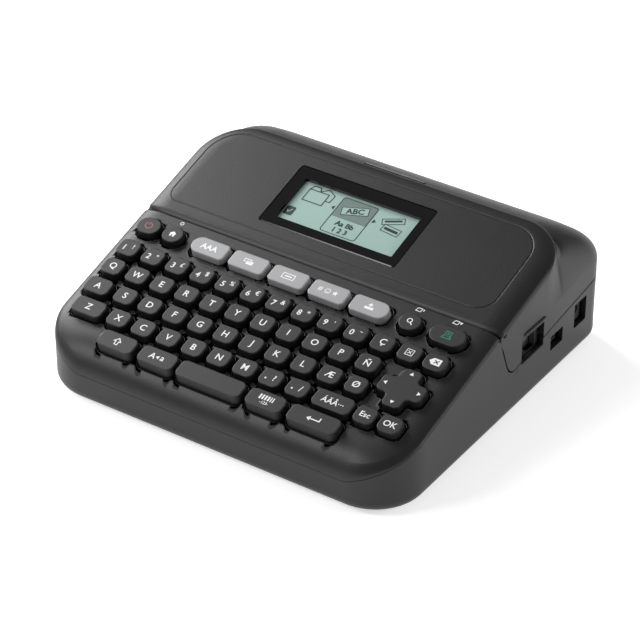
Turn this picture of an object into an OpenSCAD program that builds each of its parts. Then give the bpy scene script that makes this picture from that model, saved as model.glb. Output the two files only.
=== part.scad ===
// Desktop label maker: sloping keyboard in front, display lid behind it, tape exit on the right.
// Millimetres. X runs to the right, Y to the back, Z up. The origin is the middle of the footprint,
// on the surface that the rubber feet stand on.

/* [Body] */
// Overall width
body_w = 188; // [184:1:192]
// Overall depth
body_d = 178; // [176:1:182]
// Corner radius of the footprint
corner_r = 24; // [20:1:26]
// Wall thickness of the casings
wall = 2.4; // [2.2:0.1:2.6]
// Height of the rubber feet
foot_h = 2; // [1.5:0.1:2.5]
// Running gap between neighbouring casings
gap = 0.25; // [0.2:0.05:0.35]

/* [Sloping top] */
// Slope of the keyboard and display, in degrees
slope = 16.17; // [15.5:0.01:16.5]
// Height of the sloping plane above the front edge
plane_z0 = 27.2; // [26.5:0.1:28]
// Height of the casing seam in the middle of the front
seam_front_z = 16.3; // [15.5:0.1:17]
// Depth of the rounded nose in front of the keyboard
nose_d = 10; // [9:0.5:11]
// Thickness of the keyboard panel and the display fascia
panel_t = 2.5; // [2.4:0.1:2.6]

/* [Keys] */
// Key spacing along a row
key_pitch = 13.55; // [13.5:0.01:13.6]
// Middle of the first key of the digit row, from the centre line
first_key_x = -83.3; // [-83.5:0.1:-83]
// Width of a character key
key_w = 10.8; // [10.4:0.1:11]
// Depth of a character key, along the slope
key_d = 9.6; // [9.2:0.1:9.8]
// Height of the key tops above the panel
key_h = 3.1; // [2.8:0.1:3.3]
// Corner radius of the keys
key_r = 3; // [2:0.1:3.2]
// Gap between a key and the edge of its hole
key_gap = 0.3; // [0.25:0.05:0.35]

/* [Lid] */
// Distance of the hinge axis from the front of the case
hinge_y = 88.2; // [88:0.1:88.5]
// Radius of the rounded front edge of the lid, about the hinge axis
knuckle_r = 4; // [3.8:0.1:4.1]
// Diameter of the steel hinge pins
pin_d = 2.4; // [2.2:0.1:2.4]
// Distance of the ridge behind the display from the front
ridge_y = 147.5; // [147:0.5:148]

/* [Display] */
// Middle of the display window, to the left of the centre line
display_x = -4.7; // [-5:0.1:-4]
// Middle of the display window, from the front
display_y = 115.6; // [115:0.1:116]
// Width of the glossy window
window_w = 72.6; // [72:0.1:73]
// Height of the glossy window, along the slope
window_h = 37.8; // [37:0.1:38]

/* [Tape path] */
// Distance of the tape from the front
tape_y = 112; // [111.5:0.1:112.5]
// Width of the label tape
tape_w = 12; // [9:1:12]
// Radius of the platen roller
platen_r = 3.5; // [3:0.1:3.6]

/* [Batteries] */
// Diameter of a size AA cell
cell_d = 14.5; // [14:0.1:14.5]
// Length of a size AA cell
cell_l = 50.5; // [49:0.1:50.5]

/* [Hidden] */
$fn = 48;
half_w = body_w / 2;
rise = tan(slope);
function plane_z(y) = plane_z0 + rise * y;
seam_drop = 2.8;
seam_bend_y = 19;
floor_t = 2.4;
floor_top = foot_h + floor_t;
hinge_z = plane_z(hinge_y) - knuckle_r / cos(slope);
pin_run = 0.05;
panel_back_y = 83.6;
rear_slope = 27;
rear_bend_y = 166.5;
ridge_seam_z = plane_z(ridge_y) - seam_drop;
steps = 10;

// Side view of the seam between the lower case and the parts above it
function seam_z(y) = y < seam_bend_y
    ? seam_front_z + (plane_z(seam_bend_y) - seam_drop - seam_front_z) * pow(max(y, 0) / seam_bend_y, 0.55)
    : plane_z(y) - seam_drop;
seam_front = [for (i = [0:steps]) let (y = seam_bend_y * pow(i / steps, 2)) [y, seam_z(y)]];
// Lid notch and parting line: edge of the lower case, seen from the side
part_rise = 0.135;
tongue_y = 96;
tongue_z = 24.7;
function part_z(y) = tongue_z + part_rise * (y - tongue_y);
function notch_edge(off) = [[84.4 + off, 47.4], [90.4 + off, 31.4], [92.4 + off, 27.2 + off],
    [tongue_y - 0.4 + off / 2, tongue_z + off], [tongue_y + 1, tongue_z + off + part_rise]];
lid_gap = 0.5;

// Outer side view of the keyboard panel: a quarter-ellipse nose that runs into the slope
function nose(inset) = [for (i = [0:steps]) let (a = 90 * i / steps)
    [inset + (nose_d - inset + inset) * (1 - cos(a)),
     seam_front_z + (plane_z(nose_d) - inset * 1.05 - seam_front_z) * sin(a)]];

// Tape slot in the right side
slot_y0 = 103.5;
slot_y1 = 122.5;
slot_z0 = 24.6;
slot_z1 = 37.8;

// Battery box
cell_pitch = 15.2;
cells_x = -22.5;
cell_rows_y = [106, 106 + cell_pitch, 106 + 2 * cell_pitch];
cell_z = 11;
box_x0 = -78;
box_x1 = 33;
box_y0 = 98;
box_y1 = 144.6;
box_roof_z = 19;
box_wall = 1.4;
door_y0 = 95;
door_play = 0.2;
door_travel = 4.5;
door_t = 1.3;

// Cassette bay and tape cassette
bay_z = 22.6;
bay_t = 1.6;
bay_y0 = 93;
bay_inset = 3.2;
cas_x0 = 6;
cas_x1 = 70;
cas_y0 = 99;
cas_y1 = 150;
cas_z0 = 24.4;
cas_z1 = 41;
cas_wall = 1.2;
cas_split = (cas_z0 + cas_z1) / 2;
tape_z0 = (slot_z0 + slot_z1 - tape_w) / 2;
spool_z0 = cas_z0 + cas_wall + 0.4;
spool_h = cas_z1 - cas_z0 - 2 * cas_wall - 0.8;
tape_spool_at = [26, 124];
supply_at = [56, 138];
spindle_r = 1.5;

// Drive train: each gear turns about a vertical axis
gear_z = 16;
gear_t = 3;
motor_at = [60, 74];
idler_1_at = [66, 87.7];
idler_2_at = [72, 103.6];
takeup_at = [60, 110.8];
platen_at = [76, tape_y + 0.3 + platen_r];
pinion_pr = 4;
idler_1_pr = 11;
idler_2_pr = 6;
takeup_pr = 8;
platen_pr = norm(platen_at - idler_2_at) - idler_2_pr;
head_pivot = [86, 101];
post_run = 0.06;
screw_at = [[-84, 100], [-84, 160], [46, 158], [44, 96]];
screw_d = 2.6;

// Key rows from the back: distance of each row from the front
row_y = [72.4, 57.8, 45.9, 33.9, 22.1, 10.8];
fn_pitch = 21.3;
fn_x0 = -49.1;
function col_x(i) = first_key_x + key_pitch * i;
function run_of(n, x0, row, w = key_w) = [for (i = [0:n - 1]) [x0 + key_pitch * i, row_y[row], w, key_d, key_r]];
// Each node of keys: name, colour, and its keys as [x, y, width, depth, corner radius]
KEY_SETS = [
    ["power_key", "dimgray", [[col_x(0) + 0.6, row_y[0], 12, 10, 4.8]]],
    ["home_key", "dimgray", [[col_x(1) + 0.3, row_y[0], 10.6, 9.8, 4.7]]],
    ["text_key", "silver", [[fn_x0, row_y[0], 18.8, 9.6, 3]]],
    ["frame_key", "silver", [[fn_x0 + fn_pitch, row_y[0], 18.8, 9.6, 2.2]]],
    ["label_key", "silver", [[fn_x0 + 2 * fn_pitch, row_y[0], 18.8, 9.6, 2.2]]],
    ["symbol_key", "silver", [[fn_x0 + 3 * fn_pitch, row_y[0], 18.8, 9.6, 2.2]]],
    ["file_key", "silver", [[fn_x0 + 4 * fn_pitch, row_y[0], 18.8, 9.6, 3]]],
    ["preview_key", "dimgray", [[56.5, row_y[0], 10.6, 9.8, 4.7]]],
    ["print_key", "dimgray", [[75.4, row_y[0], 17.5, 10.4, 5]]],
    ["digit_keys", "dimgray", run_of(12, col_x(0), 1)],
    ["backspace_key", "dimgray", [[78.6, row_y[1], 11.2, key_d, 3.4]]],
    ["upper_letter_keys", "dimgray", run_of(11, col_x(0) + 0.2, 2)],
    ["middle_letter_keys", "dimgray",
        concat([[-82.3, row_y[3], 13.2, key_d, key_r]], run_of(9, -67.3, 3), [[54.4, row_y[3], 9.8, key_d, key_r]])],
    ["lower_letter_keys", "dimgray",
        concat([[-78.6, row_y[4], 16.4, key_d, key_r]], run_of(8, -62.2, 4))],
    ["accent_key", "dimgray", [[50.6, row_y[4], 19.4, key_d, key_r]]],
    ["escape_key", "dimgray", [[66.9, row_y[4] - 0.3, 10.2, key_d, key_r]]],
    ["ok_key", "dimgray", [[79.2, row_y[4] - 0.3, 11, key_d, 3.4]]],
    ["shift_key", "dimgray", [[-54.4, row_y[5], 19, key_d, key_r]]],
    ["caps_key", "dimgray", [[-32.7, row_y[5], 19, key_d, key_r]]],
    ["space_key", "dimgray", [[-4.6, row_y[5], 34, key_d, key_r]]],
    ["barcode_key", "dimgray", [[24, row_y[5], 18.6, key_d, key_r]]],
    ["enter_key", "dimgray", [[48.3, row_y[5], 25, key_d, key_r]]]
];
flange_w = 0.7;
flange_h0 = -3.8;
flange_h1 = -2.8;
pocket_w = 1;
pocket_h = -2.65;
mat_h = -5.6;
mat_t = 1.2;
board_t = 1.6;
board_gap = 0.1;
board_clear = 1.4;
board_y0 = 6;
board_y1 = 80;
dpad_at = [73.2, 40.1];
dpad_l = 22;
dpad_arm = 9.4;
dpad_play = 0.6;

// Places a child on the sloping plane: its Z is the plane's normal and its Y runs up the slope
module on_plane(x, y, h = 0) {
    translate([x, y, plane_z(y)]) rotate([slope, 0, 0]) translate([0, 0, h]) children();
}

// Extrudes a side view, given as [y, z] points, over a stretch of X
module side_prism(points, x0 = -half_w - 1, x1 = half_w + 1) {
    translate([x0, 0, 0]) rotate([90, 0, 90]) linear_extrude(x1 - x0) polygon(points);
}

// Rounded rectangle between two corners
module rounded_rect(x0, y0, x1, y1, r) {
    translate([x0 + r, y0]) square([x1 - x0 - 2 * r, y1 - y0]);
    translate([x0, y0 + r]) square([x1 - x0, y1 - y0 - 2 * r]);
    for (x = [x0 + r, x1 - r], y = [y0 + r, y1 - r]) translate([x, y]) circle(r);
}

// Footprint of the body, moved inwards by an inset
module footprint(inset = 0) {
    rounded_rect(-half_w + inset, inset, half_w - inset, body_d - inset, corner_r - inset);
}

// Outline of a key: a rectangle with its corners cut to short arcs
function key_outline(w, d, r) = [for (c = [0:3], i = [0:2]) let (a = 90 * c + 45 * i)
    [(c == 0 || c == 3 ? 1 : -1) * (w / 2 - r) + r * cos(a), (c < 2 ? 1 : -1) * (d / 2 - r) + r * sin(a)]];

module box(x0, y0, z0, x1, y1, z1) {
    translate([x0, y0, z0]) cube([x1 - x0, y1 - y0, z1 - z0]);
}

module post(at, r, z0, z1) {
    translate([at[0], at[1], z0]) cylinder(h = z1 - z0, r = r);
}

module hinge_rod(r, x0, x1) {
    translate([x0, hinge_y, hinge_z]) rotate([0, 90, 0]) cylinder(h = x1 - x0, r = r);
}

post_x0 = 80;
post_x1 = 84;

module hinge_post(side) {
    x0 = side > 0 ? post_x0 : -post_x1;
    difference() {
        union() {
            box(x0, hinge_y - 2, floor_top - 0.5, x0 + post_x1 - post_x0, hinge_y + 2, hinge_z);
            hinge_rod(2.7, x0, x0 + post_x1 - post_x0);
        }
        hinge_rod(pin_d / 2, x0 - 1, x0 + post_x1 - post_x0 + 1);
    }
}

// Lower case: tub with the battery box, the screw bosses and the two hinge posts
module lower_case() {
    color([0.12, 0.12, 0.12]) {
        difference() {
            intersection() {
                translate([0, 0, foot_h]) linear_extrude(60) footprint();
                side_prism(concat([[-1, foot_h - 1]], [[-1, seam_front_z]], seam_front,
                    [[84, seam_z(84)]], notch_edge(0), [[body_d + 1, part_z(body_d + 1)], [body_d + 1, foot_h - 1]]));
            }
            translate([0, 0, floor_top]) linear_extrude(60) footprint(wall);
            hinge_rod(knuckle_r + 0.4, -half_w - 1, half_w + 1);
            box(half_w - wall - 1, slot_y0, slot_z0, half_w + 1, slot_y1, 60);
            box(half_w - wall - 1, 150.2, 17.2, half_w + 1, 160.8, 29.8);
            box(half_w - wall - 1, 129.2, 17.2, half_w + 1, 140, 24.6);
            box(box_x0 - 2, door_y0, foot_h - 1, box_x1 + 2, door_y0 + 58, foot_h + door_t + 0.1);
            box(box_x0 + 2, box_y0 + 1.5, foot_h, box_x1 - 2, box_y1 - 1.5, floor_top + 1);
            for (s = screw_at) post(s, screw_d / 2, foot_h + 1.2, floor_top + 1);
        }
        difference() {
            box(box_x0 - box_wall, box_y0 - box_wall, floor_top - 0.5, box_x1 + box_wall, box_y1 + box_wall,
                box_roof_z + box_wall);
            box(box_x0, box_y0, floor_top - 1, box_x1, box_y1, box_roof_z);
        }
        for (s = screw_at) difference() {
            post(s, 3.4, floor_top - 0.5, bay_z - 0.05);
            post(s, screw_d / 2, foot_h + 1.2, bay_z + 1);
        }
        for (side = [-1, 1]) hinge_post(side);
    }
}

module foot_pads() {
    color([0.2, 0.2, 0.2])
        for (x = [-78, 78], y = [16, 163]) translate([x, y, 0]) cylinder(h = foot_h, r = 6);
}

module battery_door() {
    color([0.14, 0.14, 0.14]) difference() {
        box(box_x0 - 2 + door_play, door_y0 + door_play, foot_h + 0.05, box_x1 + 2 - door_play,
            door_y0 + 58 - door_travel - 0.3, foot_h + door_t);
        for (i = [-2:2]) box(cells_x - 12, 142 + 1.8 * i, foot_h - 1, cells_x + 12, 142.9 + 1.8 * i, foot_h + 0.45);
    }
}

module batteries() {
    color("darkgoldenrod") for (y = cell_rows_y, x = [cells_x - cell_l - 0.7, cells_x + 0.7])
        translate([x, y, cell_z]) rotate([0, 90, 0]) {
            cylinder(h = cell_l - 1, r = cell_d / 2);
            cylinder(h = cell_l, r = 2.7);
        }
}

module battery_contacts() {
    color("silver") for (y = cell_rows_y, x = [box_x0 + 0.1, box_x1 - 0.5])
        translate([x, y - 5, cell_z - 5]) cube([0.4, 10, 10]);
}

// Cassette bay: the plate that the cassette rests on, with holes for the drive
module cassette_bay() {
    color([0.25, 0.25, 0.26]) difference() {
        union() {
            intersection() {
                translate([0, 0, bay_z]) linear_extrude(bay_t) footprint(bay_inset);
                box(-half_w, bay_y0, bay_z - 1, half_w, body_d, bay_z + bay_t + 1);
            }
            post(tape_spool_at, spindle_r, bay_z, spool_z0 + 8);
            post(supply_at, spindle_r, bay_z, spool_z0 + 8);
            post(head_pivot, 1.6, bay_z, 40.5);
        }
        for (s = screw_at) post(s, screw_d / 2, bay_z - 1, bay_z + bay_t + 1);
        for (x = [post_x0 - 1, -post_x1 - 1]) box(x, bay_y0 - 1, bay_z - 1, x + 6, bay_y0 + 1, bay_z + bay_t + 1);
        post(takeup_at, 2.4, bay_z - 1, bay_z + bay_t + 1);
        post(platen_at, 2.4, bay_z - 1, bay_z + bay_t + 1);
        box(half_w - 9, slot_y0 + 11, bay_z - 1, half_w - 4, slot_y1 + 1, bay_z + bay_t + 1);
        box(half_w - 14, 149.9, bay_z - 1, half_w, 161.1, bay_z + bay_t + 1);
    }
}

module bay_screws() {
    color("silver") for (s = screw_at) {
        post(s, screw_d / 2, bay_z - 11, bay_z + bay_t + 0.2);
        difference() {
            post(s, 2.6, bay_z + bay_t, bay_z + bay_t + 1.7);
            for (a = [0, 90]) translate([s[0], s[1], bay_z + bay_t + 1.7]) rotate(a) cube([3, 0.6, 1.6], center = true);
        }
    }
}

pin_x0 = 77.5;
pin_x1 = 90.5;

module hinge_pins() {
    color("lightgray") {
        hinge_rod(pin_d / 2, pin_x0, pin_x1);
        hinge_rod(pin_d / 2, -pin_x1, -pin_x0);
    }
}

// Keyboard panel: sloping plate with a rounded nose and one hole for each key
module keyboard_panel() {
    outer = concat(nose(0), [[panel_back_y, plane_z(panel_back_y)]]);
    inner = concat(nose(wall), [[panel_back_y, plane_z(panel_back_y) - panel_t * 1.04]]);
    top_edge = concat(outer, [[panel_back_y, 90], [-1, 90], [-1, seam_front_z]]);
    seam = concat([[-1, seam_front_z - 1]], seam_front, [[panel_back_y, seam_z(panel_back_y)]]);
    color([0.13, 0.13, 0.13]) difference() {
        intersection() {
            linear_extrude(90) footprint();
            union() {
                side_prism(concat(outer, [for (i = [len(inner) - 1:-1:0]) inner[i]]));
                difference() {
                    linear_extrude(90) footprint();
                    translate([0, 0, -1]) linear_extrude(92) footprint(wall);
                    side_prism([[seam_bend_y + 10, -1], [body_d + 1, -1], [body_d + 1, 91], [seam_bend_y + 10, 91]]);
                    side_prism(top_edge);
                }
            }
        }
        side_prism(concat([[-2, -2], [-2, seam_front_z - 1 + gap]], [for (p = seam) p + [0, gap]],
            [[panel_back_y + 1, seam_z(panel_back_y + 1) + gap], [panel_back_y + 1, -2]]));
        hinge_rod(knuckle_r + 0.5, -half_w - 1, half_w + 1);
        for (set = KEY_SETS, k = set[2]) on_plane(k[0], k[1], -2 * panel_t)
            linear_extrude(4 * panel_t) polygon(key_outline(k[2] + 2 * key_gap, k[3] + 2 * key_gap, k[4]));
        for (set = KEY_SETS, k = set[2]) if (k[1] < nose_d + key_d / 2) on_plane(k[0], k[1], pocket_h - 4)
            linear_extrude(4) polygon(key_outline(k[2] + 2 * pocket_w, k[3] + 2 * pocket_w, k[4]));
        on_plane(dpad_at[0], dpad_at[1], -2 * panel_t) dpad_cross(dpad_play, 4 * panel_t);
    }
}

// Plus-shaped prism of the direction pad, grown by a margin
module dpad_cross(margin, h) {
    for (a = [0, 90]) rotate(a) linear_extrude(h)
        polygon(key_outline(dpad_l + 2 * margin, dpad_arm + 2 * margin, 2));
}

// Sheet under the whole keyboard, parallel to the slope, with its front corners following the case
module key_sheet(h, t) {
    intersection() {
        on_plane(0, board_y0, h) translate([-half_w, 0, 0])
            cube([body_w, (board_y1 - board_y0) / cos(slope), t]);
        linear_extrude(60) footprint(wall + board_clear);
    }
}

module key_mat() {
    color([0.3, 0.3, 0.3]) key_sheet(mat_h - mat_t, mat_t);
}

module key_board() {
    color("darkgreen") key_sheet(mat_h - mat_t - board_gap - board_t, board_t);
}

// One node of keys: each cap stands through its hole and keeps a flange under the panel
module key_set(set) {
    color(set[1]) for (k = set[2]) on_plane(k[0], k[1]) {
        translate([0, 0, flange_h1 - 0.2]) linear_extrude(key_h - flange_h1 + 0.2)
            polygon(key_outline(k[2], k[3], k[4]));
        translate([0, 0, flange_h0]) linear_extrude(flange_h1 - flange_h0)
            polygon(key_outline(k[2] + 2 * flange_w, k[3] + 2 * flange_w, k[4]));
    }
}

module dpad() {
    color("dimgray") on_plane(dpad_at[0], dpad_at[1]) {
        translate([0, 0, -1.6]) dpad_cross(0, key_h + 1.6);
        translate([0, 0, -4.4]) cylinder(h = 3, r = 3.4);
    }
}

module dpad_pivot() {
    color("gray") on_plane(dpad_at[0], dpad_at[1], -5.4) cylinder(h = 0.7, r = 2.6);
}

// Display fascia: the top of the lid, with the rounded front edge that turns on the hinge pins
module display_fascia() {
    color([0.12, 0.12, 0.12]) difference() {
        union() {
            intersection() {
                linear_extrude(90) rounded_rect(-half_w, hinge_y - 30, half_w, ridge_y, corner_r);
                side_prism([[hinge_y - knuckle_r * sin(slope), plane_z(hinge_y - knuckle_r * sin(slope))],
                    [ridge_y + 1, plane_z(ridge_y + 1)], [ridge_y + 1, plane_z(ridge_y + 1) - panel_t * 1.04],
                    [hinge_y - 1, plane_z(hinge_y - 1) - panel_t * 1.04]]);
            }
            hinge_rod(knuckle_r, -half_w, half_w);
        }
        on_plane(display_x, display_y, -1.7) translate([-window_w / 2 - 0.15, -window_h / 2 - 0.15, 0])
            cube([window_w + 0.3, window_h + 0.3, 5]);
        on_plane(display_x, display_y, -6) translate([-33.5, -14.5, 0]) cube([67, 29, 8]);
        for (x = [-pin_x1 - 0.5, pin_x0 - 0.5]) hinge_rod(pin_d / 2 + pin_run, x, x + pin_x1 - pin_x0 + 1);
        for (x = [-post_x1 - 0.4, post_x0 - 0.4]) {
            hinge_rod(3.1, x, x + 4.8);
            box(x, hinge_y - 6, hinge_z - 6, x + 4.8, hinge_y + 3.2, hinge_z + 1.2);
        }
    }
}

// Rear cover: sides and back of the lid, down to the parting line
module rear_cover() {
    rear_top = concat([[ridge_y, ridge_seam_z], [rear_bend_y, ridge_seam_z - tan(rear_slope) * (rear_bend_y - ridge_y)]],
        [for (i = [1:steps]) let (a = 90 * i / steps)
            [rear_bend_y + (body_d - rear_bend_y) * sin(a),
             ridge_seam_z - tan(rear_slope) * (rear_bend_y - ridge_y) - 13.5 * (1 - cos(a))]]);
    lid_side = concat([[84.9, plane_z(84.9) - seam_drop]], rear_top,
        [[body_d, part_z(body_d) + lid_gap]], [for (i = [4:-1:0]) notch_edge(lid_gap)[i]]);
    inner_top = [for (p = rear_top) p - [0, wall * 1.08]];
    color([0.16, 0.16, 0.16]) difference() {
        intersection() {
            linear_extrude(90) footprint();
            side_prism(lid_side);
        }
        intersection() {
            linear_extrude(90) footprint(wall);
            side_prism(concat([[hinge_y - 12, plane_z(hinge_y - 12) - seam_drop - wall], [hinge_y - 12, 0], [body_d, 0]],
                [for (i = [len(inner_top) - 1:-1:0]) inner_top[i]]));
        }
        translate([0, 0, 1]) linear_extrude(90) rounded_rect(-82, 60, 82, 141, 18);
        hinge_rod(knuckle_r + 0.1, -half_w - 1, half_w + 1);
        box(half_w - wall - 1.5, slot_y0, slot_z0 - 6, half_w + 1, slot_y1, slot_z1);
        release_place() translate([-16.3, -3.8, -8]) cube([32.6, 7.6, 16]);
    }
}

// Middle of the release button, on the rear slope just behind the ridge
module release_place() {
    y = ridge_y + 6.2;
    translate([-3, y, ridge_seam_z - tan(rear_slope) * (y - ridge_y)]) rotate([-rear_slope, 0, 0]) children();
}

module release_button() {
    color([0.2, 0.2, 0.2]) release_place() {
        translate([-16, -3.5, -3.6]) cube([32, 7, 4.2]);
        translate([-17, -4.2, -3.9]) cube([34, 8.4, 1]);
    }
}

module display_window() {
    color("black") on_plane(display_x, display_y, -1.6)
        translate([-window_w / 2, -window_h / 2, 0]) cube([window_w, window_h, 1.5]);
}

module lcd_module() {
    color([0.64, 0.74, 0.7]) on_plane(display_x, display_y, -5.8)
        translate([-32.5, -13.6, 0]) cube([65, 27.2, 4.1]);
}

module display_board() {
    color("darkgreen") on_plane(display_x, display_y, -7.6) translate([-36, -16, 0]) cube([72, 32, 1.6]);
}

module cassette_shell(z0, z1, closed_below) {
    difference() {
        box(cas_x0, cas_y0, z0, cas_x1, cas_y1, z1);
        box(cas_x0 + cas_wall, cas_y0 + cas_wall, closed_below ? z0 + cas_wall : z0 - 1,
            cas_x1 - cas_wall, cas_y1 - cas_wall, closed_below ? z1 + 1 : z1 - cas_wall);
        box(cas_x1 - 3, tape_y - 1.5, cas_split - tape_w / 2 - 1, cas_x1 + 1, tape_y + 1.5, cas_split + tape_w / 2 + 1);
        for (p = [tape_spool_at, supply_at, takeup_at]) post(p, 2.6, cas_z0 - 1, cas_z0 + cas_wall + 1);
    }
}

module cassette_base() {
    color("gainsboro") cassette_shell(cas_z0, cas_split - 0.05, true);
}

module cassette_cover() {
    color("gainsboro") cassette_shell(cas_split + 0.05, cas_z1, false);
}

module spool(at, r, bore_r) {
    difference() {
        union() {
            post(at, r, spool_z0 + 1, spool_z0 + spool_h - 1);
            post(at, r * 0.4 + 1.2, spool_z0, spool_z0 + spool_h);
        }
        post(at, bore_r, spool_z0 - 1, spool_z0 + spool_h + 1);
    }
}

module tape_spool() {
    color("white") spool(tape_spool_at, 17.5, spindle_r + post_run);
}

module ribbon_supply_spool() {
    color("black") spool(supply_at, 8.5, spindle_r + post_run);
}

module ribbon_takeup_spool() {
    color("dimgray") spool(takeup_at, 6.5, spindle_r);
}

module label_tape() {
    color("white") box(cas_x1 + 0.3, tape_y - 0.1, tape_z0, 86.2, tape_y + 0.1, tape_z0 + tape_w);
}

module print_head() {
    color("silver") box(73, tape_y - 3.6, tape_z0 - 0.6, 79, tape_y - 0.4, tape_z0 + tape_w + 0.6);
}

module head_arm() {
    color("gray") difference() {
        union() {
            box(72.6, tape_y - 4.9, 24.9, 86, tape_y - 3.6, 39.4);
            box(84.6, head_pivot[1], 24.9, 87.4, tape_y - 3.6, 39.4);
            post(head_pivot, 3.2, 24.9, 39.4);
        }
        post(head_pivot, 1.6 + post_run, 24, 40);
    }
}

module gear(at, pr) {
    teeth = round(2.2 * pr);
    translate([at[0], at[1], gear_z]) linear_extrude(gear_t)
        polygon([for (i = [0:teeth - 1], c = [[-0.32, -1.1], [-0.16, -0.15], [0.16, -0.15], [0.32, -1.1]])
            let (a = 360 * (i + c[0]) / teeth) (pr + c[1]) * [cos(a), sin(a)]]);
}

module platen_roller() {
    color([0.25, 0.25, 0.25]) {
        post(platen_at, platen_r, tape_z0 - 0.4, tape_z0 + tape_w + 0.4);
        post(platen_at, 1, gear_z, tape_z0 + tape_w + 3);
    }
}

module platen_gear() {
    color("ivory") difference() {
        gear(platen_at, platen_pr);
        post(platen_at, 1, gear_z - 1, gear_z + gear_t + 1);
    }
}

module idler(at, pr) {
    color("ivory") {
        gear(at, pr);
        post(at, 1.5, gear_z - 2, gear_z + gear_t + 1.6);
    }
}

module takeup_spindle() {
    color("ivory") {
        gear(takeup_at, takeup_pr);
        post(takeup_at, spindle_r, gear_z, spool_z0 + 8);
    }
}

module drive_motor() {
    color("silver") difference() {
        post(motor_at, 10, gear_z + gear_t + 1.4, gear_z + gear_t + 16);
        post(motor_at, 1.06, gear_z, gear_z + gear_t + 17);
    }
}

module motor_pinion() {
    color("goldenrod") {
        gear(motor_at, pinion_pr);
        post(motor_at, 1, gear_z, gear_z + gear_t + 14);
    }
}

module cutter_blade() {
    color("lightgray") side_prism([[tape_y + 2.6, tape_z0 - 1], [tape_y + 11, tape_z0 - 1],
        [tape_y + 11, tape_z0 + tape_w + 1], [tape_y + 1, tape_z0 + tape_w + 1]], 87, 87.8);
}

module cutter_frame() {
    color("gray") difference() {
        box(84.6, tape_y + 8, bay_z + bay_t, 90.6, tape_y + 17, 39.6);
        box(86.8, tape_y + 7, tape_z0 - 1.3, 88, tape_y + 15, tape_z0 + tape_w + 1.3);
    }
}

// Power inlet: block with a round socket and its centre pin
module dc_jack() {
    color([0.1, 0.1, 0.1]) translate([half_w - 3, 155.5, 23.5]) rotate([0, -90, 0]) {
        difference() {
            translate([-6, -5, 0]) cube([12, 10, 10]);
            translate([0, 0, -1]) cylinder(h = 9.5, r = 2.75);
        }
        cylinder(h = 9, r = 0.8);
    }
}

// Small five-contact data socket
module usb_port() {
    color("silver") difference() {
        box(84.5, 130.6, 18, half_w - 3, 138.6, 22.2);
        box(86, 131, 18.4, half_w, 138.2, 21.8);
    }
}

// Moves the footprint's middle onto the origin
module centred() {
    translate([0, -body_d / 2, 0]) children();
}

centred() {
    lower_case();
    foot_pads();
    battery_door();
    batteries();
    battery_contacts();
    cassette_bay();
    bay_screws();
    hinge_pins();
    keyboard_panel();
    key_mat();
    key_board();
    dpad_pivot();
    dpad();
    display_fascia();
    rear_cover();
    display_window();
    lcd_module();
    display_board();
    release_button();
    cassette_base();
    cassette_cover();
    tape_spool();
    ribbon_supply_spool();
    ribbon_takeup_spool();
    label_tape();
    print_head();
    head_arm();
    platen_roller();
    platen_gear();
    idler(idler_1_at, idler_1_pr);  // idler_gear_1
    idler(idler_2_at, idler_2_pr);  // idler_gear_2
    takeup_spindle();
    drive_motor();
    motor_pinion();
    cutter_blade();
    cutter_frame();
    dc_jack();
    usb_port();
    for (set = KEY_SETS) key_set(set);
}
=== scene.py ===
import math

import bpy
import numpy as np
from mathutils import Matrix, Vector
from mathutils.geometry import delaunay_2d_cdt


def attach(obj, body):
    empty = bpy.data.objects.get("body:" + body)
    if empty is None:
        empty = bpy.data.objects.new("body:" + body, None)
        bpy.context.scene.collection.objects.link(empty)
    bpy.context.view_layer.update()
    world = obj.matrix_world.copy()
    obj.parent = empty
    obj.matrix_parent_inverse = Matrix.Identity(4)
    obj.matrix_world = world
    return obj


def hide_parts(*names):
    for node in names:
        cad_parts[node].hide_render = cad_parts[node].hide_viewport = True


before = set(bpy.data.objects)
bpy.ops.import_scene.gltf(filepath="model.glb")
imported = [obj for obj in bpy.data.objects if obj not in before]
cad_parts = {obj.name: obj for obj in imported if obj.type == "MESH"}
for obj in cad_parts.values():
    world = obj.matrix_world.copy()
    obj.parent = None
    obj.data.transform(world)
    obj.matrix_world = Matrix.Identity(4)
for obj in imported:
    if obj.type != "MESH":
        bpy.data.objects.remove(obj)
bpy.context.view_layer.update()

# ---- Viewpoint ----------------------------------------------------------------------------------
# A long lens a little over a metre away, in front of the right-hand front corner and above it.
# Written out first, so that the frame is set before any piece is made.

eye = bpy.data.cameras.new("viewpoint")
eye.lens = 154.7
eye.sensor_width = 36.0
eye_holder = bpy.data.objects.new("viewpoint", eye)
bpy.context.scene.collection.objects.link(eye_holder)
looking_back = Vector((0.46338, -0.68932, 0.55688)).normalized()
eye_holder.location = Vector((0.00125, -0.00417, 0.02376)) + looking_back * 1.22504
eye_holder.rotation_euler = (-looking_back).to_track_quat("-Z", "Y").to_euler()
eye.clip_end = 20.0
bpy.context.scene.camera = eye_holder


# ---- Lower case ---------------------------------------------------------------------------------
# The tub that everything stands in: black ABS, one moulding, with a tucked-under bottom edge, the
# battery box, screw bosses and hinge posts inside it, and the power and data recesses on the right.
# Its upper edge follows the seam up the slope, drops into the lid notch and runs back to the rear.


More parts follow.
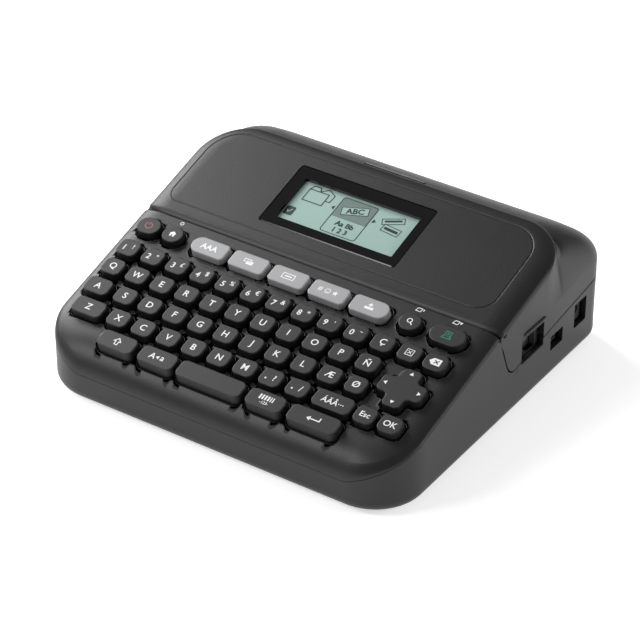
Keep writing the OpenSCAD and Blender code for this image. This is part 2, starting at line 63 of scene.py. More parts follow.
class Wire:
    """One output of a shader node, so that shader sums read as plain Python."""

    def __init__(self, socket):
        self.socket = socket

    def node(self, kind, settings=None, inputs=None, out=0):
        """A node of this kind with its settings put in first and then its inputs, as one output."""
        made = self.socket.id_data.nodes.new(kind)
        for key, value in (settings or {}).items():
            if key == "stops":
                ramp = made.color_ramp
                while len(ramp.elements) < len(value):
                    ramp.elements.new(0.5)
                for element, (place, shade) in zip(ramp.elements, value):
                    element.position = place
                    element.color = (*shade, 1.0)
            else:
                setattr(made, key, value)
        for key, value in (inputs or {}).items():
            if isinstance(value, Wire):
                self.socket.id_data.links.new(value.socket, made.inputs[key])
            else:
                made.inputs[key].default_value = value
        return Wire(made.outputs[out])

    def sum(self, operation, first, second):
        """Math node of this operation on two values."""
        return self.node("ShaderNodeMath", {"operation": operation}, {0: first, 1: second})

    def __add__(self, other):
        return self.sum("ADD", self, other)

    def __radd__(self, other):
        return self.sum("ADD", other, self)

    def __mul__(self, other):
        return self.sum("MULTIPLY", self, other)

    def __rmul__(self, other):
        return self.sum("MULTIPLY", other, self)

    def noise(self, scale, detail=2.0):
        """Noise with this many cells to a metre, on the place on the piece."""
        return self.node("ShaderNodeTexNoise", {}, {"Vector": self, "Scale": scale, "Detail": detail})


BROAD_PATCHES = 38.0


def finish(name, colour, rough, grain=1600.0, depth=0.00002, vary=0.12, metal=0.0, wear=0.06, shine=0.5):
    """Base colour times (1 +- vary) by a broad noise, roughness plus wear times the noises, and a bump of
    this depth in metres from the fine grain."""
    made = bpy.data.materials.new(name)
    made.use_nodes = True
    tree = made.node_tree
    tree.nodes.clear()
    shader = tree.nodes.new("ShaderNodeBsdfPrincipled")
    end = tree.nodes.new("ShaderNodeOutputMaterial")
    tree.links.new(shader.outputs[0], end.inputs[0])
    place = Wire(tree.nodes.new("ShaderNodeTexCoord").outputs["Object"])
    broad = place.noise(BROAD_PATCHES, 3.0)
    fine = place.noise(grain)
    low = tuple(c * (1 - vary) for c in colour)
    high = tuple(min(1.0, c * (1 + vary)) for c in colour)
    ramp = {"stops": [(0.3, low), (0.7, high)]}
    mixed = place.node("ShaderNodeValToRGB", ramp, {"Fac": broad * 0.6 + fine * 0.4})
    rubbed = rough - wear * 0.5 + fine * wear + broad * (wear * 0.6)
    tree.links.new(mixed.socket, shader.inputs["Base Color"])
    tree.links.new(rubbed.socket, shader.inputs["Roughness"])
    bump = place.node("ShaderNodeBump", {}, {"Height": fine, "Distance": depth, "Strength": 1.0})
    tree.links.new(bump.socket, shader.inputs["Normal"])
    shader.inputs["Metallic"].default_value = metal
    shader.inputs["Specular IOR Level"].default_value = shine
    return made


case_black = finish("case_black", (0.006, 0.006, 0.0062), 0.42, grain=1500.0, depth=0.00006, shine=0.42)

WIDTH, DEPTH, CORNER, REAR_R, WALL = 188.0, 178.0, 24.0, 12.0, 2.4
HALF = WIDTH / 2
SLOPE = math.radians(16.17)
NOSE_Z, SEAM_FRONT_Z, SEAM_RISE_Y, SEAM_DROP = 27.2, 16.3, 19.0, 2.8


def plane_z(y):
    """Height of the sloping plane: 27.2 at the front edge, rising with the tangent of the slope."""
    return NOSE_Z + math.tan(SLOPE) * y


def seam_z(y):
    """Height of the seam: a power curve of 0.55 over the first 19 mm, then 2.8 mm below the plane."""
    lift = plane_z(SEAM_RISE_Y) - SEAM_DROP - SEAM_FRONT_Z
    risen = (np.clip(y, 0, SEAM_RISE_Y) / SEAM_RISE_Y) ** 0.55
    return np.where(y < SEAM_RISE_Y, SEAM_FRONT_Z + lift * risen, plane_z(y) - SEAM_DROP)


def around(s, inset=0.0):
    """Point and outward direction at distance s round the footprint, counted from the middle of the front
    to the right: straight runs, and quarter circles of radius 24 at the front and 12 at the rear."""
    front_x, rear_x, run_y = HALF - CORNER, HALF - REAR_R, DEPTH - CORNER - REAR_R
    wide, tight = CORNER * math.pi / 2, REAR_R * math.pi / 2
    s = np.mod(s, LAP)
    ends = np.cumsum([front_x, wide, run_y, tight, 2 * rear_x, tight, run_y, wide])
    k = np.searchsorted(ends, s, side="right")
    t = s - np.concatenate([[0], ends])[k]
    r = np.where((k == 1) | (k == 7), CORNER, REAR_R)
    sa, ca, o = np.sin(t / r), np.cos(t / r), 0 * t
    x = np.choose(k, [t, front_x + r * sa, HALF + o, rear_x + r * ca, rear_x - t, -rear_x - r * sa,
                      -HALF + o, -front_x - r * ca, -front_x + t])
    y = np.choose(k, [o, r - r * ca, CORNER + t, DEPTH - r + r * sa, DEPTH + o, DEPTH - r + r * ca,
                      DEPTH - REAR_R - t, r - r * sa, o])
    nx = np.choose(k, [o, sa, 1 + o, ca, o, -sa, -1 + o, -ca, o])
    ny = np.choose(k, [-1 + o, -ca, o, sa, 1 + o, ca, o, -sa, -1 + o])
    return x - nx * inset, y - ny * inset, nx, ny


LAP = 2 * (2 * HALF - CORNER - REAR_R) + 2 * (DEPTH - CORNER - REAR_R) + math.pi * (CORNER + REAR_R)
SIDE_S = (HALF - CORNER) + CORNER * math.pi / 2 - CORNER


def at_side(y):
    """Distance round the footprint of the point at this y on the straight part of the right side."""
    return SIDE_S + y


def vertex_normals(points, triangles):
    """Smooth normals: each triangle's area vector added up at its three points."""
    a, b, c = (points[triangles[:, k]] for k in range(3))
    area = np.cross(b - a, c - a)
    total = np.zeros_like(points)
    for k in range(3):
        np.add.at(total, triangles[:, k], area)
    return total / np.maximum(np.linalg.norm(total, axis=1), 1e-12)[:, None]


def sheet(rows, closed=False, flip=False):
    """Two triangles for each cell of a grid of points (rows, columns, 3); a closed one wraps its columns."""
    rows = np.asarray(rows, float)
    n, m = rows.shape[:2]
    index = np.arange(n * m).reshape(n, m)
    if closed:
        index = np.concatenate([index, index[:, :1]], axis=1)
    a, b, c, d = index[:-1, :-1], index[:-1, 1:], index[1:, 1:], index[1:, :-1]
    halves = [np.stack([a, b, c], -1).reshape(-1, 3), np.stack([a, c, d], -1).reshape(-1, 3)]
    triangles = np.concatenate(halves)
    points = rows.reshape(-1, 3)
    if flip:
        triangles = triangles[:, ::-1]
    return points, triangles, vertex_normals(points, triangles)


def inside(points, loop):
    """Even-odd test: a ray to the right of each point crosses the loop's edges an odd number of times."""
    x, y = points[:, 0:1], points[:, 1:2]
    x0, y0 = loop[:, 0], loop[:, 1]
    x1, y1 = np.roll(x0, -1), np.roll(y0, -1)
    spans = (y0 > y) != (y1 > y)
    cross = x0 + (y - y0) * (x1 - x0) / np.where(y1 == y0, 1e-12, y1 - y0)
    return (np.sum(spans & (x < cross), axis=1) % 2) == 1


def fill(loop, holes=(), step=3.0, lines=(), keep_off=0.5):
    """Delaunay triangles inside a loop and outside its holes, with a grid of extra points at this step
    and with the given lines kept as edges."""
    loops = [np.asarray(l, float) for l in (loop, *holes)]
    chains = loops + [np.asarray(l, float) for l in lines]
    points = np.concatenate(chains)
    edges, start = [], 0
    for k, chain in enumerate(chains):
        number = np.arange(len(chain)) + start
        edges.append(np.stack([number, np.roll(number, -1)], 1))
        start += len(chain)
    edges = np.concatenate(edges)
    low, high = loops[0].min(0), loops[0].max(0)
    gx, gy = np.meshgrid(np.arange(low[0], high[0], step), np.arange(low[1], high[1], step))
    extra = np.stack([gx.ravel() + step * 0.37, gy.ravel() + step * 0.41], 1)
    extra = extra[inside(extra, loops[0])]
    for hole in loops[1:]:
        extra = extra[~inside(extra, hole)]
    far = np.min(np.linalg.norm(extra[:, None, :] - points[None, :, :], axis=2), axis=1) > keep_off * step
    points = np.concatenate([points, extra[far]])
    made = delaunay_2d_cdt([Vector(p) for p in points], edges.tolist(), [], 0, 1e-6)
    flat = np.array([tuple(v) for v in made[0]])
    triangles = np.array(made[2], dtype=int)
    middle = flat[triangles].mean(axis=1)
    wanted = inside(middle, loops[0])
    for hole in loops[1:]:
        wanted &= ~inside(middle, hole)
    triangles = triangles[wanted]
    a, b, c = (flat[triangles[:, k]] for k in range(3))
    turn = (b[:, 0] - a[:, 0]) * (c[:, 1] - a[:, 1]) - (b[:, 1] - a[:, 1]) * (c[:, 0] - a[:, 0])
    triangles[turn < 0] = triangles[turn < 0][:, ::-1]
    return flat, triangles


def rounded(x0, y0, x1, y1, r, steps=6, r4=None):
    """Rounded rectangle, counter-clockwise, each corner a quarter circle; r4 gives the radii of the
    right-back, left-back, left-front and right-front corners."""
    radii = r4 or (r, r, r, r)
    centres = [(x1, y1, -1, -1), (x0, y1, 1, -1), (x0, y0, 1, 1), (x1, y0, -1, 1)]
    parts = []
    for k, (cx, cy, sx, sy) in enumerate(centres):
        a = np.linspace(k * math.pi / 2, (k + 1) * math.pi / 2, steps + 1)
        parts.append(np.stack([cx + sx * radii[k] + radii[k] * np.cos(a),
                               cy + sy * radii[k] + radii[k] * np.sin(a)], 1))
    return np.concatenate(parts)


def collar(levels, flip=False):
    """Closed strip through loops of equal length, one after another."""
    return sheet(np.stack(levels), closed=True, flip=flip)


def lid_on(ring, flip=False):
    """Flat cap on a ring of 3D points that is convex: triangles to its middle point."""
    ring = np.asarray(ring, float)
    n = len(ring)
    points = np.concatenate([ring, ring.mean(axis=0)[None]])
    triangles = np.stack([np.arange(n), (np.arange(n) + 1) % n, np.full(n, n)], 1)
    if flip:
        triangles = triangles[:, ::-1]
    return points, triangles, vertex_normals(points, triangles)


def flipped(part):
    """The same surface facing the other way."""
    points, triangles, normals = part
    return points, triangles[:, ::-1], -normals


def plate(points, triangles, way):
    """Flat part whose normals all point this way."""
    return points, triangles, np.tile(way, (len(points), 1))


def level(flat, z):
    """Flat points lifted to one height."""
    return np.column_stack([flat, np.full(len(flat), z)])


def build(name, body, parts, finishes, slot=None, replaces=()):
    """One mesh from parts (points in mm from the front, triangles, normals, finish number). Points that
    meet are welded, and each triangle keeps the normals of its own part, so edges stay crisp."""
    points = np.concatenate([p[0] for p in parts])
    starts = np.cumsum([0] + [len(p[0]) for p in parts])[:-1]
    triangles = np.concatenate([p[1] + s for p, s in zip(parts, starts)])
    normals = np.concatenate([p[2] for p in parts])
    finish_of = np.concatenate([np.full(len(p[1]), p[3] if len(p) > 3 else 0) for p in parts])
    metres = (points - np.array([0.0, DEPTH / 2, 0.0])) * 0.001
    _, first, same = np.unique(np.round(metres, 6), axis=0, return_index=True, return_inverse=True)
    same = same.reshape(-1)
    welded = same[triangles]
    sound = (welded[:, 0] != welded[:, 1]) & (welded[:, 1] != welded[:, 2]) & (welded[:, 2] != welded[:, 0])
    triangles, welded, finish_of = triangles[sound], welded[sound], finish_of[sound]
    mesh = bpy.data.meshes.new(name)
    mesh.from_pydata(metres[first].tolist(), [], welded.tolist())
    mesh.polygons.foreach_set("material_index", finish_of.astype(np.int32))
    mesh.polygons.foreach_set("use_smooth", np.ones(len(welded), dtype=bool))
    for material in finishes:
        mesh.materials.append(material)
    mesh.normals_split_custom_set(normals[triangles].reshape(-1, 3).tolist())
    mesh.update()
    holder = bpy.data.objects.new(name, mesh)
    bpy.context.scene.collection.objects.link(holder)
    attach(holder, body)
    if replaces:
        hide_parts(*replaces)
    return holder


def block(x0, y0, z0, x1, y1, z1, r=0.3, soft=0.25):
    """Box with rounded upright edges and softened rims: loops drawn in by the soft edge at both ends."""
    loops = []
    for z, pull in ((z0, soft), (z0 + soft, 0.0), (z1 - soft, 0.0), (z1, soft)):
        flat = rounded(x0 + pull, y0 + pull, x1 - pull, y1 - pull, max(r - pull, 0.05), 3)
        loops.append(level(flat, z))
    return [collar(loops), lid_on(loops[0], True), lid_on(loops[-1])]


def tube(cx, cy, r_out, r_in, z0, z1):
    """Upright tube: outer wall, bore and the two ring ends."""
    a = np.linspace(0, 2 * math.pi, 32, endpoint=False)
    ring = lambda r, z: np.stack([cx + r * np.cos(a), cy + r * np.sin(a), np.full(32, z)], 1)
    return [collar([ring(r_out, z0), ring(r_out, z1)]), collar([ring(r_out, z1), ring(r_in, z1)]),
            collar([ring(r_in, z1), ring(r_in, z0)]), collar([ring(r_in, z0), ring(r_out, z0)])]


def part_z(y):
    """Parting line between lower case and lid: 24.7 mm up at the tongue, rising 0.135 mm in each mm."""
    return 24.7 + 0.135 * (y - 96.0)


# The lid notch drops from the seam to the parting line round the lid's tongue, as (y, z) corners
# that are then softened.
NOTCH = np.array([[84.4, 47.4], [90.4, 31.4], [92.4, 27.2], [95.6, 24.7], [97.0, 24.835]])
notch_t = np.concatenate([[0.0], np.cumsum(np.linalg.norm(np.diff(NOTCH, axis=0), axis=1))])
t_fine = np.linspace(0, notch_t[-1], 26)
notch_y = np.interp(t_fine, notch_t, NOTCH[:, 0])
notch_z = np.interp(t_fine, notch_t, NOTCH[:, 1])
soften = np.array([0.25, 0.5, 0.25])
for _ in range(3):
    notch_z[1:-1] = np.convolve(notch_z, soften, "valid")
    notch_y[1:-1] = np.convolve(notch_y, soften, "valid")

right_front = np.concatenate([np.arange(0, HALF - CORNER, 2.5),
                              np.arange(HALF - CORNER, SIDE_S + CORNER, 0.9),
                              at_side(np.arange(CORNER, 84.0, 1.5))])
rear_turn = at_side(DEPTH - REAR_R)
right_back = np.concatenate([at_side(np.arange(98.5, DEPTH - REAR_R, 1.5)),
                             np.arange(rear_turn, rear_turn + REAR_R * math.pi / 2, 0.9),
                             np.arange(rear_turn + REAR_R * math.pi / 2, LAP / 2, 2.5)])
half_s = np.concatenate([right_front, at_side(notch_y), right_back, [LAP / 2]])
half_z = np.concatenate([seam_z(around(right_front)[1]), notch_z, part_z(around(right_back)[1]),
                         [part_z(DEPTH)]])
SLOT_Y, SLOT_Z = (103.5, 122.5), (24.6, 37.8)
step_y = np.array([SLOT_Y[0] - 0.01, SLOT_Y[0], SLOT_Y[1], SLOT_Y[1] + 0.01])
step_z = np.array([part_z(step_y[0]), SLOT_Z[0], SLOT_Z[0], part_z(step_y[3])])
clear_of_slot = (half_s < at_side(SLOT_Y[0]) - 0.3) | (half_s > at_side(SLOT_Y[1]) + 0.3)
right_s = np.concatenate([half_s[clear_of_slot], at_side(step_y)])
right_z = np.concatenate([half_z[clear_of_slot], step_z])[np.argsort(right_s)]
right_s = np.sort(right_s)
rim_s = np.concatenate([right_s, (LAP - half_s)[::-1][1:-1]])
rim_z = np.concatenate([right_z, half_z[::-1][1:-1]])

RIM_R, TUCK, IN_TUCK = 0.6, 5.0, 2.6
UNDERSIDE, RECESS_TOP, LEDGE_Z, FLOOR_TOP = 2.0, 3.2, 3.4, 4.4


def recess(y0, y1, z0, z1, r):
    """Rounded opening in the right side, as distance round the footprint and height."""
    return rounded(at_side(y0), z0, at_side(y1), z1, r, 4)


jack_hole = recess(150.2, 160.8, 17.2, 29.8, 0.8)
data_hole = recess(129.2, 140.0, 17.2, 24.6, 0.6)
strip_hi = np.column_stack([np.append(rim_s, LAP), np.append(rim_z, rim_z[0]) - RIM_R])
strip_lo = np.column_stack([strip_hi[::-1, 0], np.full(len(strip_hi), UNDERSIDE + TUCK)])
flat, tri = fill(np.concatenate([strip_lo[::-1], strip_hi[::-1]]), [jack_hole, data_hole], 4.0)


def on_wall(flat, inset=0.0):
    """Wraps (distance round the footprint, height) onto the wall, drawn inwards by the inset."""
    x, y, nx, ny = around(flat[:, 0], inset)
    return np.column_stack([x, y, flat[:, 1]]), np.column_stack([nx, ny, 0 * nx])


outer_pts, outer_n = on_wall(flat)
inner_pts, _ = on_wall(flat, WALL)
case_parts = [(outer_pts, tri, outer_n), (inner_pts, tri[:, ::-1], -outer_n)]
for hole in (jack_hole, data_hole):
    case_parts.append(collar([on_wall(hole)[0], on_wall(hole, 0.35)[0], on_wall(hole, WALL)[0]]))


def rim_ring(s, z, inset, lift=0.0):
    """Ring of points round the footprint at these heights, drawn inwards by the inset."""
    x, y, _, _ = around(s, inset)
    return np.column_stack([x, y, z + lift + 0 * x])


quarter = np.linspace(0, math.pi / 2, 5)
rim_rings = [rim_ring(rim_s, rim_z, RIM_R * (1 - math.cos(a)), -RIM_R + RIM_R * math.sin(a))
             for a in quarter]
case_parts.append(collar(rim_rings))
case_parts.append(collar([rim_rings[-1], rim_ring(rim_s, rim_z, WALL),
                          rim_ring(rim_s, rim_z, WALL, -RIM_R)]))
tuck_rings = [rim_ring(rim_s, UNDERSIDE + TUCK - TUCK * math.sin(a), TUCK * (1 - math.cos(a)))
              for a in np.linspace(0, math.pi / 2, 9)]
case_parts.append(collar(tuck_rings[::-1]))
in_tuck = [rim_ring(rim_s, FLOOR_TOP + IN_TUCK - IN_TUCK * math.sin(a), WALL + IN_TUCK * (1 - math.cos(a)))
           for a in quarter]
case_parts.append(collar(in_tuck))
door_hole = rounded(-80.0, 95.0, 35.0, 153.0, 1.0, 4)
box_hole = rounded(-76.0, 99.5, 31.0, 143.1, 1.0, 4)
screw_at = [(-84.0, 100.0), (-84.0, 160.0), (46.0, 158.0), (44.0, 96.0)]
round_20 = np.linspace(0, 2 * math.pi, 20, endpoint=False)
screw_holes = [np.column_stack([x + 2.2 * np.cos(round_20), y + 2.2 * np.sin(round_20)])
               for x, y in screw_at]
base_flat, base_tri = fill(tuck_rings[-1][:, :2], [door_hole] + screw_holes, 12.0)
case_parts.append(plate(level(base_flat, UNDERSIDE), base_tri[:, ::-1], [0.0, 0.0, -1.0]))

case_parts.append(collar([level(door_hole, LEDGE_Z), level(door_hole, UNDERSIDE)], True))
ledge_flat, ledge_tri = fill(door_hole, [box_hole], 12.0)
case_parts.append(plate(level(ledge_flat, LEDGE_Z), ledge_tri[:, ::-1], [0.0, 0.0, -1.0]))
case_parts.append(collar([level(box_hole, FLOOR_TOP), level(box_hole, LEDGE_Z)], True))
for hole in screw_holes:
    case_parts.append(collar([level(hole, RECESS_TOP), level(hole, UNDERSIDE)], True))
    case_parts.append(lid_on(level(hole, RECESS_TOP), True))
floor_flat, floor_tri = fill(in_tuck[-1][:, :2], [box_hole], 12.0)
case_parts.append(plate(level(floor_flat, FLOOR_TOP), floor_tri, [0.0, 0.0, 1.0]))
# Ribs, bosses and hinge posts start a little below the floor's top, so that they are one with it.
SUNK_Z, BOX_TOP, BOSS_TOP, POST_TOP = 4.2, 20.4, 22.55, 44.2
for x0, y0, x1, y1 in ((-79.4, 96.6, -78.0, 146.0), (33.0, 96.6, 34.4, 146.0), (-78.0, 96.6, 33.0, 98.0),
                       (-78.0, 144.6, 33.0, 146.0)):
    case_parts += block(x0, y0, SUNK_Z, x1, y1, BOX_TOP)
case_parts += block(-79.4, 96.6, 19.0, 34.4, 146.0, BOX_TOP)
for x, y in screw_at:
    case_parts += tube(x, y, 3.4, 1.3, SUNK_Z, BOSS_TOP)
for x0 in (-84.0, 80.0):
    case_parts += block(x0, 86.2, SUNK_Z, x0 + 4.0, 90.2, POST_TOP)
build("lower_case_shell", "base", case_parts, [case_black], slot="case_plastic", replaces=["lower_case"])

# ---- Keyboard panel -----------------------------------------------------------------------------
# The sloping plate that the keys come through: one black ABS moulding, clipped down into the lower
# case. It rolls over at both sides and falls in a deep rounded nose at the front, and its back edge
# turns down into the groove in front of the lid.

SIDE_ROLL = 10.0
BACK_Y = 83.6
EDGE_BAND = 3.0


def from_edge(x, y, corner_y, sign):
    """Distance inwards from the footprint, and how far its edge faces front or back there (0 to 1):
    24 less the distance from the corner's centre, of which only the part past the straight runs counts."""
    over_x = np.maximum(np.abs(x) - (HALF - CORNER), 0.0)
    over_y = np.maximum(sign * (y - corner_y), 0.0)
    reach = np.hypot(over_x, over_y)
    return CORNER - reach, over_y / np.maximum(reach, 1e-9)


def fall(d, drop, width):
    """Quarter-ellipse roll: drop times (1 - cos t), where sin t is 1 - d / width, and nothing further in."""
    t = np.arcsin(np.clip(1.0 - d / width, 0.0, 1.0))
    return drop * (1.0 - np.cos(t))


def panel_drop(facing):
    """Depth of the roll: from the slope down to the seam at the point of the outline that faces this way."""
    y = CORNER - CORNER * facing
    return plane_z(y) - seam_z(y)


def panel_width(facing):
    """Width of the roll: 10 mm at the sides, 12.5 mm where the outline faces front."""
    return SIDE_ROLL + 2.5 * facing


def panel_z(x, y):
    """Height of the panel's top: the sloping plane less the roll at its edge."""
    d, facing = from_edge(x, y, CORNER, -1.0)
    return plane_z(y) - fall(d, panel_drop(facing), panel_width(facing))


def lifted(height, flat):
    """Points of a height surface over flat points, with normals from its slopes over 0.02 mm."""
    x, y = flat[:, 0], flat[:, 1]
    e = 0.02
    dx = (height(x + e, y) - height(x - e, y)) / (2 * e)
    dy = (height(x, y + e) - height(x, y - e)) / (2 * e)
    normals = np.column_stack([-dx, -dy, np.ones(len(x))])
    normals /= np.linalg.norm(normals, axis=1)[:, None]
    return np.column_stack([x, y, height(x, y)]), normals


def key_outline(x, y, w, d, r, grow=0.0, steps=5):
    """Key's outline on the slope seen from above: its depth shortened by the cosine of the slope."""
    loop = rounded(-w / 2 - grow, -d / 2 - grow, w / 2 + grow, d / 2 + grow, r + grow, steps)
    return np.column_stack([x + loop[:, 0], y + loop[:, 1] * math.cos(SLOPE)])


def cross_outline(arm, reach, r, grow=0.0, steps=4):
    """Plus shape, counter-clockwise: eight rounded outer corners and four rounded inner ones."""
    a, b, r_out, r_in = arm / 2 + grow, reach / 2 + grow, r + grow, max(2.2 - grow, 0.4)
    turn = np.linspace(0, math.pi / 2, steps + 1)
    corner = np.concatenate([
        np.column_stack([b - r_out + r_out * np.cos(turn), a - r_out + r_out * np.sin(turn)]),
        np.column_stack([a + r_in - r_in * np.sin(turn), a + r_in - r_in * np.cos(turn)]),
        np.column_stack([a - r_out + r_out * np.cos(turn), b - r_out + r_out * np.sin(turn)])])
    quarters = []
    for k in range(4):
        c, s = math.cos(k * math.pi / 2), math.sin(k * math.pi / 2)
        quarters.append(np.column_stack([corner[:, 0] * c - corner[:, 1] * s,
                                         corner[:, 0] * s + corner[:, 1] * c]))
    return np.concatenate(quarters)


KEY_GAP, PAD_GAP, HOLE_SOFT, PANEL_T, WALL_DOWN = 0.35, 0.6, 0.3, 2.4, 1.9
PITCH = 13.55
ROW_Y = (72.4, 57.8, 45.9, 33.9, 22.1, 10.8)


def run_of(count, x0, row):
    """Evenly spaced keys of one row, each as (x, y, width, depth, corner radius)."""
    return [(x0 + PITCH * i, ROW_Y[row], 10.8, 9.6, 3.0) for i in range(count)]


keys = {
    "power_key": [(-82.7, 72.4, 12.0, 10.0, 4.8)],
    "home_key": [(-69.45, 72.4, 10.6, 9.8, 4.7)],
    "text_key": [(-49.1, 72.4, 18.8, 9.6, 3.0)],
    "frame_key": [(-27.8, 72.4, 18.8, 9.6, 2.2)],
    "label_key": [(-6.5, 72.4, 18.8, 9.6, 2.2)],
    "symbol_key": [(14.8, 72.4, 18.8, 9.6, 2.2)],
    "file_key": [(36.1, 72.4, 18.8, 9.6, 3.0)],
    "preview_key": [(56.5, 72.4, 10.6, 9.8, 4.7)],
    "print_key": [(75.4, 72.4, 17.5, 10.4, 5.0)],
    "digit_keys": run_of(12, -83.3, 1),
    "backspace_key": [(78.6, 57.8, 11.2, 9.6, 3.4)],
    "upper_letter_keys": run_of(11, -83.1, 2),
    "middle_letter_keys": [(-82.3, 33.9, 13.2, 9.6, 3.0)] + run_of(9, -67.3, 3)
                          + [(54.4, 33.9, 9.8, 9.6, 3.0)],
    "lower_letter_keys": [(-78.6, 22.1, 16.4, 9.6, 3.0)] + run_of(8, -62.2, 4),
    "accent_key": [(50.6, 22.1, 19.4, 9.6, 3.0)],
    "escape_key": [(66.9, 21.8, 10.2, 9.6, 3.0)],
    "ok_key": [(79.2, 21.8, 11.0, 9.6, 3.4)],
    "shift_key": [(-54.4, 10.8, 19.0, 9.6, 3.0)],
    "caps_key": [(-32.7, 10.8, 19.0, 9.6, 3.0)],
    "space_key": [(-4.6, 10.8, 34.0, 9.6, 3.0)],
    "barcode_key": [(24.0, 10.8, 18.6, 9.6, 3.0)],
    "enter_key": [(48.3, 10.8, 25.0, 9.6, 3.0)],
}
all_keys = [key for row in keys.values() for key in row]
DPAD = (73.2, 40.1)


def pad_shape(grow):
    """Direction pad's plus shape, grown by that much."""
    return cross_outline(9.4, 22.0, 2.4, grow)


def pad_loop(grow):
    """The plus shape on the slope seen from above."""
    flat = pad_shape(grow)
    return np.column_stack([DPAD[0] + flat[:, 0], DPAD[1] + flat[:, 1] * math.cos(SLOPE)])


def edge_path(y_end, corner_y, sign, spacing=1.6):
    """Outline of a top piece from its right end round its front or back to its left end: points, outward
    directions and how far each faces front or back."""
    run = np.arange(y_end, corner_y, sign * 2.5)
    a = np.linspace(0, math.pi / 2, int(CORNER * math.pi / 2 / spacing))
    across = np.linspace(HALF - CORNER, 0, 24)
    x = np.concatenate([np.full(len(run), HALF), HALF - CORNER + CORNER * np.cos(a), across[1:]])
    y = np.concatenate([run, corner_y + sign * CORNER * np.sin(a), np.full(23, corner_y + sign * CORNER)])
    nx = np.concatenate([np.ones(len(run)), np.cos(a), np.zeros(23)])
    ny = np.concatenate([np.zeros(len(run)), sign * np.sin(a), np.full(23, sign)])
    mirror = lambda v, s: np.concatenate([v, s * v[::-1][1:]])
    return mirror(x, -1), mirror(y, 1), mirror(nx, -1), mirror(ny, 1)


def roll_rings(path, width_of, drop_of, count=9):
    """Rings of a rolled edge: ring k lies width (1 - sin t) inside the outline and drop (1 - cos t) below
    the slope, for t from the edge band's inner line to a right angle. Normals are those of the ellipse."""
    x, y, nx, ny = path
    facing = np.abs(ny)
    width, drop = width_of(facing), drop_of(facing)
    t0 = np.arcsin(1.0 - EDGE_BAND / width)
    rows, normals = [], []
    for k in np.linspace(0, 1, count):
        t = t0 + (math.pi / 2 - t0) * k
        d = width * (1.0 - np.sin(t))
        px, py = x - nx * d, y - ny * d
        rows.append(np.column_stack([px, py, plane_z(py) - drop * (1.0 - np.cos(t))]))
        out, up = drop * np.sin(t), width * np.cos(t)
        tilt = np.column_stack([nx * out, ny * out - math.tan(SLOPE) * up, up])
        normals.append(tilt / np.linalg.norm(tilt, axis=1)[:, None])
    return np.stack(rows), np.stack(normals)


def thicken(part, thickness, skip=()):
    """Closes a skin: its copy moved in against the normals, turned round, and strips along the free edges.
    Edges between points listed in skip get no strip, because another part carries on from them."""
    points, triangles, normals = part
    inner = points - normals * np.asarray(thickness).reshape(-1, 1)
    edges = np.concatenate([triangles[:, [0, 1]], triangles[:, [1, 2]], triangles[:, [2, 0]]])
    marks = np.concatenate([points] + [np.asarray(s).reshape(-1, 3) for s in skip])
    _, code = np.unique(np.round(marks, 3), axis=0, return_inverse=True)
    code = code.reshape(-1)
    carried = np.isin(code[:len(points)], code[len(points):])
    _, index, count = np.unique(np.sort(code[edges], axis=1), axis=0, return_index=True, return_counts=True)
    free = edges[index[count == 1]]
    free = free[~(carried[free[:, 0]] & carried[free[:, 1]])]
    a, b = points[free[:, 0]], points[free[:, 1]]
    c, d = inner[free[:, 1]], inner[free[:, 0]]
    n = len(free)
    k = np.arange(n)
    strip = np.concatenate([np.stack([k + n, k, k + 3 * n], 1), np.stack([k + n, k + 3 * n, k + 2 * n], 1)])
    face = np.cross(a - b, d - b)
    face /= np.maximum(np.linalg.norm(face, axis=1), 1e-12)[:, None]
    return [part, (inner, triangles[:, ::-1], -normals),
            (np.concatenate([a, b, c, d]), strip, np.tile(face, (4, 1)))]


def joined(*parts):
    """Parts whose edges meet, as one skin with one set of points."""
    points = np.concatenate([p[0] for p in parts])
    starts = np.cumsum([0] + [len(p[0]) for p in parts])[:-1]
    triangles = np.concatenate([p[1] + s for p, s in zip(parts, starts)])
    return points, triangles, np.concatenate([p[2] for p in parts])


def grid_part(rows, normals):
    """A grid of points with normals already worked out, turned so that its faces agree with them."""
    points, triangles, rough = sheet(rows)
    flat_normals = normals.reshape(-1, 3)
    if np.sum(rough * flat_normals) < 0:
        triangles = triangles[:, ::-1]
    return points, triangles, flat_normals


front_path = edge_path(BACK_Y - 0.6, CORNER, -1.0)
rows, row_normals = roll_rings(front_path, panel_width, panel_drop)
band_line = rows[0][:, :2]
back_x = np.linspace(-band_line[0, 0], band_line[0, 0], 60)[1:-1]
panel_loop = np.concatenate([band_line, np.column_stack([back_x, np.full(58, BACK_Y - 0.6)])])[::-1]
hole_loops = [key_outline(*key, grow=KEY_GAP + HOLE_SOFT) for key in all_keys]
hole_loops.append(pad_loop(PAD_GAP + HOLE_SOFT))
flat, tri = fill(panel_loop, hole_loops, 1.7)
points, normals = lifted(panel_z, flat)
top = (points, tri, normals)
roll = grid_part(rows, row_normals)


def turned_down(xs, y0, radius, depth, height):
    """Back edge turned down: a quarter circle of this radius laid on the slope, then straight down."""
    line = np.column_stack([xs, np.full(len(xs), y0), height(xs, np.full(len(xs), y0))])
    made = []
    for a in quarter:
        out = radius * math.sin(a)
        made.append(line + [0, out, -radius * (1 - math.cos(a)) + out * math.tan(SLOPE)])
    made.append(made[-1] - [0, 0, depth])
    return np.stack(made)


